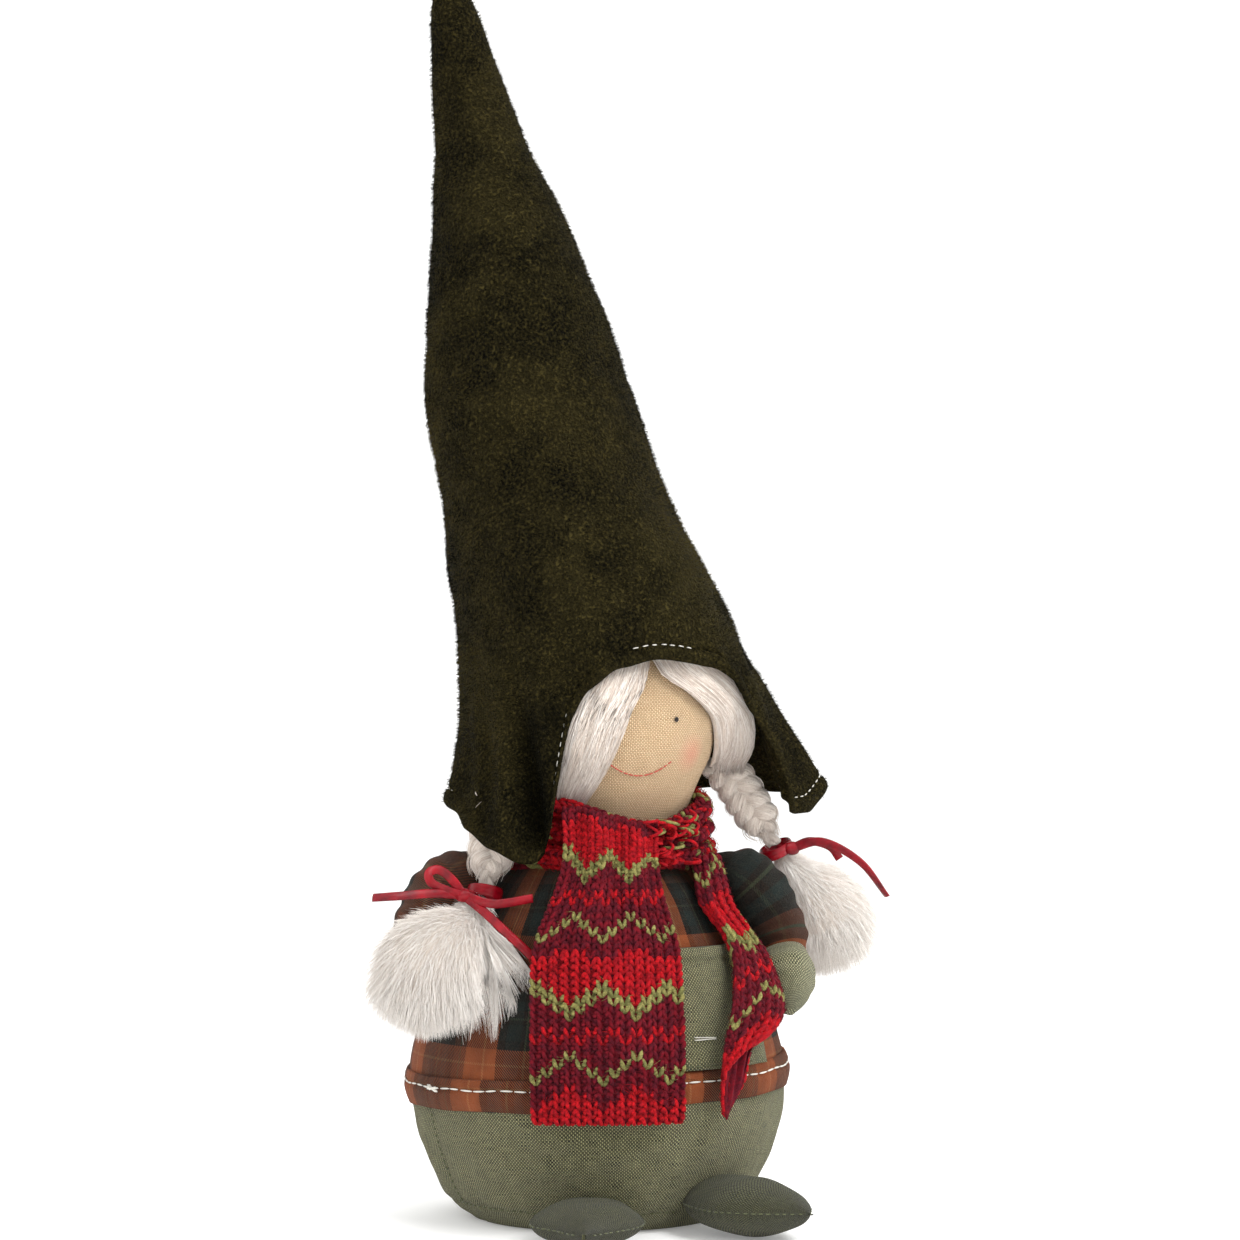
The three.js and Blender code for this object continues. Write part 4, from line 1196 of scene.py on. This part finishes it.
# Each bow's knot and the points of its loops and tails as [sideways, outwards, up], the points from the knot.
BOW_AZIMUTH = -24
BOWS = {
    "left": {
        "knot": (6, 5, 1),
        "bands": [
            ([(0, 0, 0), (7, 3, 3), (15, 4, 1), (19, 4, -4)], 25),
            ([(0, 0, 0), (12, 7, 3), (27, 9, -5), (38, 6, -19)], 60),
        ],
    },
    "right": {
        "knot": (-8, 11, 0),
        "bands": [
            ([(0, 0, 0), (-4, 3, 6), (-9, 4, 10), (-13, 5, 9), (-12, 4, 5), (-6, 3, 2), (0, 1, 0)], 15),
            ([(0, 0, 0), (-12, 5, 1), (-24, 4, 0), (-35, 0, -1)], 35),
            ([(0, 0, 0), (12, 5, -3), (27, 3, -1)], 20),
            ([(0, 0, 0), (8, 4, -6), (17, 7, -14), (27, 9, -23)], -25),
        ],
    },
}
RIBBON_WIDTH, RIBBON_THICK = 3.5, 0.4
TIE_HALF = 5.5                   # radius of the tied hair


def ribbon_band(shape, line, facing, twist):
    """A flat ribbon along a line, turned by `twist` degrees from one end to the other, dished a little."""
    _, across, face = frame_along(line, facing)
    angle = np.radians(twist) * np.linspace(0, 1, len(line))[:, None]
    aside = across * np.cos(angle) + face * np.sin(angle)
    front = face * np.cos(angle) - across * np.sin(angle)
    width = np.linspace(-0.5, 0.5, 9)[None, :, None] * RIBBON_WIDTH
    dish = 0.35 * np.cos(np.linspace(-math.pi / 2, math.pi / 2, 9))[None, :, None]
    middle = line[:, None] + aside[:, None] * width + front[:, None] * dish
    half = front[:, None] * RIBBON_THICK / 2
    shape.slab(middle + half, middle - half)


def make_ribbon(side):
    """Two turns of satin round the tie, a knot, and the bow's loops and tails."""
    knot, bands = BOWS[side]["knot"], BOWS[side]["bands"]
    above = np.array(BRAIDS[side]["plait"][-1], float)
    below = np.array(BRAIDS[side]["tail"][0], float)
    tie = (above + below) / 2
    along = unit(below - above)
    sideways, outwards, up = direction(BOW_AZIMUTH + 90), direction(BOW_AZIMUTH), np.array([0, 0, 1.0])

    def place(point, start):
        return start + sideways * point[0] + outwards * point[1] + up * point[2]

    shape = Shape()
    across = unit(np.cross(along, up))
    face = np.cross(across, along)
    turn = np.linspace(0, 2 * math.pi, 40, endpoint=False)
    for slide, lean in ((-0.9, 0.12), (0.7, -0.1)):
        circle = np.cos(turn)[:, None] * across + np.sin(turn)[:, None] * face
        ring = []
        for t in np.linspace(0, 2 * math.pi, 20, endpoint=False):
            reach = TIE_HALF + 1.0 + 0.55 * np.cos(t)
            rise = slide + 1.5 * np.sin(t) + lean * np.cos(turn)
            ring.append(tie + circle * reach + along * rise[:, None])
        shape.turned(np.array(ring), ring=True)
    middle = place(knot, tie)
    bulge = np.linspace(0, math.pi, 15)
    girth = 2.7 * np.sin(bulge) ** 0.7 + 0.1
    round_knot = np.cos(turn)[None, :, None] * up + 0.8 * np.sin(turn)[None, :, None] * outwards
    ball = girth[:, None, None] * round_knot + (3.0 * np.cos(bulge))[:, None, None] * sideways
    shape.turned(middle + ball)
    link = np.linspace(0, 1, 10)[:, None]
    ribbon_band(shape, tie + (middle - tie) * link, sideways, 0)
    for points, twist in bands:
        ribbon_band(shape, even([place(p, middle) for p in points], 44), outwards, twist)
    name = f"ribbon_{side}"
    shape.make(f"{name}_satin", [SATIN], f"tail_{side}", "satin_red", [name])


# ---- the scarf ----
STITCH_WIDE, STITCH_TALL = 4.25, 3.05
RED, WINE, OLIVE = 0, 1, 2
ZIGZAG = 6                       # columns in one zigzag
REPEAT = 18                      # rows in the pattern


def yarn_at(column, row):
    """The colour of a stitch in the scarf's pattern of borders, zigzags, spikes and flecks."""
    step = abs((column % ZIGZAG) - ZIGZAG / 2)          # 3 at the peaks' columns, 0 at the valleys'
    if row < 2:
        return RED
    if row < 5:
        return RED if step <= (5 - row) * 0.75 else WINE
    thin = row - 5 - (3 - step)
    cycle = thin % REPEAT
    if cycle < 1:
        return OLIVE
    fleck = (row - 5) % REPEAT
    if fleck in (5, 6):
        return RED if (column + fleck) % 2 else WINE
    thick = (row - 12.5 - step) % REPEAT
    if thick < 2.2:
        return OLIVE
    if thick < 9 and fleck >= 7:
        top = 15 + (3 - step) * 0.9
        return RED if fleck <= top else WINE
    if thick < 9 and fleck < 4 and step == 0:
        return RED
    return WINE


def knit(name, place, rows, seed, body=None):
    """V-shaped stitches over a surface. place() takes stitches across and along, and mm off the surface."""
    rng = np.random.default_rng(seed)
    shape = Shape()
    column, row = np.meshgrid(np.arange(SCARF_COLUMNS), np.arange(rows))
    column, row = column.ravel(), row.ravel()
    colours = np.array([yarn_at(c, r) for c, r in zip(column, row)])
    t = np.linspace(0, 1, 7)[None]
    for lean in (-1, 1):
        x = column[:, None] + 0.5 + lean * (0.06 + 0.37 * np.sin(t * math.pi / 2) ** 0.9)
        y = row[:, None] - 0.22 + 1.35 * t + rng.normal(0, 0.03, (len(row), 1))
        lift = 0.1 + 1.0 * np.sin(math.pi * (0.1 + 0.8 * t)) + rng.normal(0, 0.05, (len(row), 1))
        lines = place(x + rng.normal(0, 0.03, (len(row), 1)), y, lift)
        radii = np.array([0.55, 0.85, 1.0, 1.05, 1.0, 0.85, 0.5])[None] * 0.9
        for colour in range(3):
            shape.tubes(lines[colours == colour], radii, 6, colour)
    fibres, steps = 5 * SCARF_COLUMNS * rows, 6
    start = rng.uniform(0, 1, (fibres, 2)) * [SCARF_COLUMNS, rows]
    way = rng.normal(0, 0.32, (fibres, 2, 1)) * np.linspace(0, 1, steps)
    bend = rng.normal(0, 0.2, (fibres, 2, 1)) * np.linspace(0, 1, steps) ** 2
    at = start[..., None] + way + bend
    fuzz_lift = 1.6 + rng.uniform(0.1, 1.2, (fibres, 1)) * np.sin(np.linspace(0.2, math.pi, steps))[None]
    fuzz = place(np.clip(at[:, 0], 0, SCARF_COLUMNS), np.clip(at[:, 1], 0, rows), fuzz_lift)
    which = colours[np.minimum(start[:, 1].astype(int), rows - 1) * SCARF_COLUMNS + start[:, 0].astype(int)]
    shape.hairs(fuzz, 0.075, which, 0)
    return shape.make(name, YARNS, body, "knit_red")


FRONT_ROWS = [                   # height, azimuth, half width and radius up the front end
    (46, -20.5, 29, 81), (60, -20.5, 29.5, 81), (75, -20.5, 29.5, 78), (92, -20.5, 29.3, 72.5),
    (106, -20.5, 28.8, 67), (115, -20.2, 27, 63), (124, -19.5, 23.5, 58.5), (133, -18.5, 20.5, 54.5),
    (143, -17.5, 18.5, 50.8), (153, -17, 18, 48.8), (160, -17, 18.5, 47), (164.5, -16, 18.5, 43),
]
CHIN_DROOP = 6.5                 # how far the front end's top edge falls towards the gnome's left
SIDE_ROWS = [                    # height, azimuth, half width, radius and thickness up the folded side end
    (49, 13, 4, 84, 4.5), (66, 15, 5, 84, 5), (74, 17, 6.5, 83.5, 5), (82, 23, 12.5, 82, 5),
    (90, 27, 13, 79, 5), (106, 33, 9.5, 69, 5), (115, 34.5, 7, 62, 5), (126, 33, 7, 54, 5),
    (136, 38, 7, 48.5, 5), (144, 42, 7, 45.8, 4),
]
SCARF_COLUMNS = 14
CLOTH_FACES = (0.35, -0.6)       # how far the cloth under the stitches reaches out and in
SIDE_STITCH_ROWS = 27
SIDE_HEM = ([0, 3.5, 7, 10, 14], [77, 73, 65, 46, 60])   # height of the slanted hem at each column


def front_place():
    """The front end: flat on the belly, and crowded together where it comes from the neck."""
    fine = catmull(FRONT_ROWS, 160)
    run = lengths_along(fine[:, [0, 3]])

    def place(x, y, lift):
        at = y * STITCH_TALL
        z, azimuth, half, radius = (np.interp(at, run, fine[:, k]) for k in range(4))
        slope_z = np.interp(at, run, np.gradient(fine[:, 0], run))
        slope_r = np.interp(at, run, np.gradient(fine[:, 3], run))
        aside = (x / SCARF_COLUMNS * 2 - 1) * half
        crowd = 1 - half / 29.5
        ripple = crowd * 5.2 * np.cos(x / SCARF_COLUMNS * 5 * math.pi + 0.9)
        ripple = ripple + 0.5 * np.sin(x * 0.8 + y * 0.11)
        z = z - CHIN_DROOP * ease(x / SCARF_COLUMNS * 1.2 - 0.1) * ease((z - 138) / 22)
        curl = 1.2 * (np.abs(x / SCARF_COLUMNS * 2 - 1) ** 6)
        out = radius + 1.1 + ripple + curl + lift * slope_z
        return polar(out, azimuth + np.degrees(aside / (radius + 1.5)), z - lift * slope_r)

    return place, int(run[-1] / STITCH_TALL)


def make_scarf_end(name, place, rows, seed):
    """A scarf end: thin cloth under its stitches, and the stitches, with their transforms baked into their
    meshes.
    """
    x, y = np.meshgrid(
        np.linspace(0, SCARF_COLUMNS, 4 * SCARF_COLUMNS + 1), np.linspace(0, rows, 2 * rows + 1))
    outer, inner = (place(x, y, lift + 0 * x) for lift in CLOTH_FACES)
    item = Shape().slab(outer, inner).make(f"{name}_cloth", [YARN_WINE], None, "knit_red", [f"{name}_end"])
    yarn = knit(f"{name}_knit", place, rows, seed)
    start, end = (place(SCARF_COLUMNS / 2, rows - down, 0) * MM for down in (0.5, 6))
    for made in (item, yarn):
        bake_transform(made)


def side_place():
    """The side end: the same cloth folded double, its hem on a slant so that the back layer hangs lower."""
    fine = catmull(SIDE_ROWS, 160)
    top = SIDE_ROWS[-1][0]

    def place(x, y, lift):
        hem = np.interp(x, *SIDE_HEM)
        z = hem + (top - hem) * y / SIDE_STITCH_ROWS
        azimuth, half, radius, thick = (np.interp(z, fine[:, 0], fine[:, k]) for k in range(1, 5))
        turn = math.pi * (0.03 + 0.94 * x / (SCARF_COLUMNS / 2))
        deep = thick / 2 - 0.7
        ways = np.stack(np.broadcast_arrays(np.cos(turn) / half, np.sin(turn) / deep), -1)
        aside_way, out_way = np.moveaxis(unit(ways), -1, 0)
        pleat = (0.25 + 1.7 * (1 - half / 13)) * np.cos(turn * 7 + z * 0.05) * ease((z - hem) / 14)
        reach = lift + pleat
        aside = half * np.cos(turn) + reach * aside_way
        out = radius + thick / 2 + deep * np.sin(turn) + reach * out_way
        return polar(out, azimuth + np.degrees(aside / radius), z)

    return place


# Across the scarf where it is bunched up round the neck, as [radius, z]: its top edge turns in, it falls in
# three folds, and its lower edge turns under.
WRAP_PROFILE = [
    (36.2, 160), (36.4, 166), (39.4, 168.8), (42, 165.4), (38.4, 162.2), (38.6, 160.2), (43.2, 156.6),
    (38.6, 153.2), (38.8, 151.2), (43.2, 147.6), (41.4, 143), (37.2, 143), (36.4, 148), (36.6, 154),
]
WRAP_ROWS = 84
WRAP_LOW = 143                   # height that the wrap's folds are pressed down towards under the chin


def wrap_place():
    """The turn round the neck: the same cloth gathered into folds, pressed down under the chin."""
    fine = catmull(WRAP_PROFILE, 200)
    run = lengths_along(fine)
    slope = np.gradient(fine, run, axis=0)

    def place(x, y, lift):
        at = x / SCARF_COLUMNS * run[-1]
        radius, z = (np.interp(at, run, fine[:, k]) for k in range(2))
        slope_r, slope_z = (np.interp(at, run, slope[:, k]) for k in range(2))
        azimuth = y / WRAP_ROWS * 360
        wave = 0.8 * np.sin(np.radians(azimuth) * 7 + x * 0.5) + 0.5 * np.sin(np.radians(azimuth) * 13 + x)
        low = hump((azimuth - 8 + 180) % 360 - 180, 0, 36)
        z = WRAP_LOW + (z - WRAP_LOW) * (1 - 0.42 * low)
        tall = 0.8 * np.sin(np.radians(azimuth) * 5 + 0.6) - 2
        return polar(radius + wave - lift * slope_z, azimuth, z + tall + lift * slope_r, WRAP_AT)

    return place


def make_scarf_wrap():
    """The scarf's turn round the neck, closed behind."""
    place = wrap_place()
    x, y = np.meshgrid(np.linspace(0, SCARF_COLUMNS, 60), np.arange(0, WRAP_ROWS, 0.5), indexing="ij")
    outer, inner = (place(x, y, lift + 0 * x) for lift in CLOTH_FACES)
    cloth = Shape().turned(np.concatenate([outer, inner[::-1]]), ring=True)
    item = cloth.make("scarf_wrap_cloth", [YARN_WINE], "root", "knit_red", ["scarf_wrap"])
    yarn = knit("scarf_wrap_knit", place, WRAP_ROWS, 82, "root")


def make_loose_yarn():
    """Red and olive yarn that has worked loose where the scarf crosses at the neck."""
    rng = np.random.default_rng(84)
    colours = ([], [], [])
    for number in range(34):
        azimuth, height = rng.uniform(-2, 24), rng.uniform(141, 159)
        start = polar(47.6 + rng.uniform(0, 2.0), azimuth, height)
        aside = direction(azimuth + 90) * rng.uniform(3, 8) * rng.choice([-1, 1])
        rise = np.array([0, 0, rng.uniform(-5, 4)])
        out = direction(azimuth) * rng.uniform(0.6, 3.0)
        sunk = direction(azimuth) * 2.5
        loop = [start - sunk, start + aside * 0.3 + out, start + aside * 0.8 + out + rise * 0.6,
                start + aside + rise - sunk]
        colours[OLIVE if number % 6 == 0 else RED].append(catmull(loop, 12))
    shape = Shape()
    for colour, loops in enumerate(colours):
        if loops:
            shape.tubes(np.array(loops), 0.62, THREAD_SIDES, colour)
    shape.make("scarf_loose_yarn", YARNS, "root", "knit_red")


# ---- the hat ----
def hat_surface():
    """The hat as a grid of points from the rim up to the tip."""
    azimuth = turns(HAT_AROUND)
    rim = np.array(HAT_RIM, float)
    after = np.clip(np.searchsorted(rim[:, 0], azimuth, side="right"), 1, len(rim) - 1)
    low, high = rim[after - 1], rim[after]
    part = ease((azimuth - low[:, 0]) / (high[:, 0] - low[:, 0]))[:, None]
    rim_z, rim_radius, flare = (low + (high - low) * part)[:, 1:].T
    stations = catmull(HAT_STATIONS, 400)
    share = np.linspace(0, 1, HAT_UP)
    cone = HAT_STATIONS[0][0]
    grid = np.zeros((HAT_UP, HAT_AROUND, 3))
    lean_way = direction(HAT_LEAN_AZIMUTH)
    for row, s in enumerate(share):
        if s >= HAT_SKIRT_SHARE:
            z = cone + (HAT_STATIONS[-1][0] - cone) * (s - HAT_SKIRT_SHARE) / (1 - HAT_SKIRT_SHARE)
            lean, radius = (np.interp(z, stations[:, 0], stations[:, k]) for k in (1, 2))
            grid[row] = polar(radius, azimuth, z, (lean_way * lean)[:2])
        else:
            down = 1 - s / HAT_SKIRT_SHARE
            centre = HEAD_AT * down
            wide = HAT_STATIONS[0][2] + (rim_radius - HAT_STATIONS[0][2]) * down**flare
            grid[row] = polar(wide, azimuth, cone + (rim_z - cone) * down, centre)
    return share, azimuth, grid


def make_hat():
    """The plush hat, with drape, dents, creases, the flap's fold and the rolled hem."""
    share, azimuth, grid = hat_surface()
    for _ in range(30):
        grid[1:-1] += 0.25 * (grid[:-2] - 2 * grid[1:-1] + grid[2:])
    for _ in range(3):
        grid += 0.25 * (np.roll(grid, 1, 1) - 2 * grid + np.roll(grid, -1, 1))
    normal = normals_of(grid)
    upward = share[:, None]
    near_rim = ease(1 - upward / HAT_SKIRT_SHARE)
    drape = np.sin(np.radians(azimuth)[None] * 13 + 1.2 * np.sin(upward * 9)) * 1.7 * near_rim
    dents = (1.5 * lumps(grid, 62, 90) + 0.5 * lumps(grid, 27, 91)) * ease((1 - upward) / 0.12)
    creases = lumps(grid * [1, 1, 2.2], 30, 92)
    creases = -0.5 * hump(creases, 0, 0.5) * ease((1 - upward) / 0.3)
    slant = azimuth[None] + 8 * (upward / HAT_SKIRT_SHARE)
    depth = 8.5 + 4.5 * ease(1 - upward / (0.6 * HAT_SKIRT_SHARE))
    fold = 6.5 * hump(slant, -63, 5.5) - depth * hump(slant, FOLD_AZIMUTH, 4.4)
    fold = fold + 3 * hump(slant, -44.5, 2.5) - 3 * hump(slant, -76, 5)
    fold = fold * ease(1.15 - upward / (0.8 * HAT_SKIRT_SHARE))
    calm = 1 - 0.75 * hump(azimuth[None], 5, 30) * near_rim
    outer = grid + normal * ((drape + dents + creases) * calm + fold)[..., None]
    steps = np.linalg.norm(np.diff(outer, axis=0), axis=2)
    run = np.concatenate([np.zeros((1, HAT_AROUND)), np.cumsum(steps, axis=0)])
    hem = np.where(run < HEM_ROLL, 0.9 * np.sin(math.pi * np.clip(run / HEM_ROLL, 0.03, 1)) ** 0.5, 0)
    groove = -0.8 * hump(run, HEM_ROLL, 0.9)
    outer = outer + normal * (hem + groove)[..., None]
    inner = outer[:-12] - normal[:-12] * PLUSH
    lip = (outer[0] + inner[0]) / 2 - unit(outer[3] - outer[0]) * 1.0
    tip = outer[-1].mean(0)
    close = [tip + (outer[-1] - tip) * k + [0, 0, rise] for k, rise in ((0.8, 0.9), (0.45, 1.6), (0.03, 1.9))]
    end = inner[-1].mean(0)
    shut = end + (inner[-1] - end) * 0.02
    rows = np.concatenate([[shut], inner[::-1], [lip], outer, close])
    item = Shape().turned(rows).make("hat_shell_plush", [PLUSH_PILE], "root", "plush_olive", ["hat_shell"])
    make_pile(outer, normal)
    make_brim_stitches(outer, normal, run)


def make_pile(outer, normal):
    """Short fibres that stand off the plush and soften its outline."""
    rng = np.random.default_rng(95)
    fibres = 42000
    area = np.linalg.norm(np.cross(np.diff(outer, axis=0), np.roll(outer, -1, 1)[:-1] - outer[:-1]), axis=2)
    chance = area.ravel() / area.sum()
    cell = rng.choice(len(chance), fibres, p=chance)
    row, column = np.divmod(cell, outer.shape[1])
    u, v = rng.uniform(0, 1, (2, fibres, 1))
    following = (column + 1) % outer.shape[1]
    root = (outer[row, column] * (1 - u) + outer[row, following] * u) * (1 - v) + (
        outer[row + 1, column] * (1 - u) + outer[row + 1, following] * u) * v
    nap = np.stack([lumps(root, 22, seed) for seed in (96, 97, 98)], -1) * 0.35 + [0, 0, -0.35]
    way = unit(normal[row, column] + nap + rng.normal(0, 0.3, (fibres, 3)))
    length = rng.uniform(0.7, 1.5, (fibres, 1, 1))
    lines = root[:, None] + way[:, None] * length * np.array([-0.2, 1.0])[None, :, None]
    brushed = 0.3 * lumps(root * [1, 1, 0.8], 44, 101) + 0.2 * lumps(root, 15, 102)
    # painted shade: fibres near the fold of the right flap take the darker shades
    fold_shade = 0.0
    for height in FOLD_SHADE_HEIGHTS:
        away = np.linalg.norm(root - polar(FOLD_SHADE_RADIUS + 4, FOLD_AZIMUTH, height, HEAD_AT), axis=1)
        fold_shade = np.maximum(fold_shade, hump(away, 0, 0.75 * FOLD_SHADE_SIZE))
    tone = 0.5 + brushed + rng.normal(0, 0.22, fibres) - 1.4 * fold_shade
    shade = np.clip((3 * tone).astype(int), 0, 2)
    shape = Shape()
    shape.hairs(lines, [0.17, 0.05], shade, 0)
    shape.make("hat_pile", PILE_TIPS, "root", "plush_olive")


def make_brim_stitches(outer, normal, run):
    """The white running stitch above the hat's hem."""
    azimuth = turns(HAT_AROUND)
    hidden = np.ones(HAT_AROUND)
    for start, end in BRIM_SHOWS:
        hidden *= 1 - ease((azimuth - start) / 5) * ease((end - azimuth) / 5)
    line = []
    for column in range(HAT_AROUND):
        row = int(np.searchsorted(run[:, column], HEM_ROLL))
        line.append(outer[row, column] + normal[row, column] * (0.3 - 2.2 * hidden[column]))
    threads = stitches(Shape(), np.array(line), 2.1, 1.7, 0.27, 99)
    threads.make("brim_stitch_thread", [WHITE_THREAD], "root", "thread_white", ["brim_stitch"])


# ---- what stays as the CAD made it ----
def paint_inner_pieces():
    """Materials for the pieces hidden inside, which keep their CAD shapes."""
    card, grain, fibre = card_paint(), sandbag_paint(), fibre_paint()
    finishes = {
        "base_cover": LINEN, "base_card": card, "weight_bag": grain, "hair_cap": WOOL,
        "body_stuffing": fibre, "head_stuffing": fibre, "hat_stuffing": fibre,
    }
    for node, paint in finishes.items():
        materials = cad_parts[node].data.materials
        materials.clear()
        materials.append(paint.material)


make_lower_cover()
make_coat()
make_hem()
make_pocket()
for side, name in ((1, "foot_left"), (-1, "foot_right")):
    make_foot(name, side)
make_head()
make_face()
for side in ("left", "right"):
    make_arm(side)
    make_lock(side)
    make_plait(side)
    make_tuft(side)
    make_ribbon(side)
make_scarf_wrap()
front, front_rows = front_place()
make_scarf_end("scarf_front", front, front_rows, 80)
make_scarf_end("scarf_side", side_place(), SIDE_STITCH_ROWS, 81)
make_loose_yarn()
make_hat()
paint_inner_pieces()
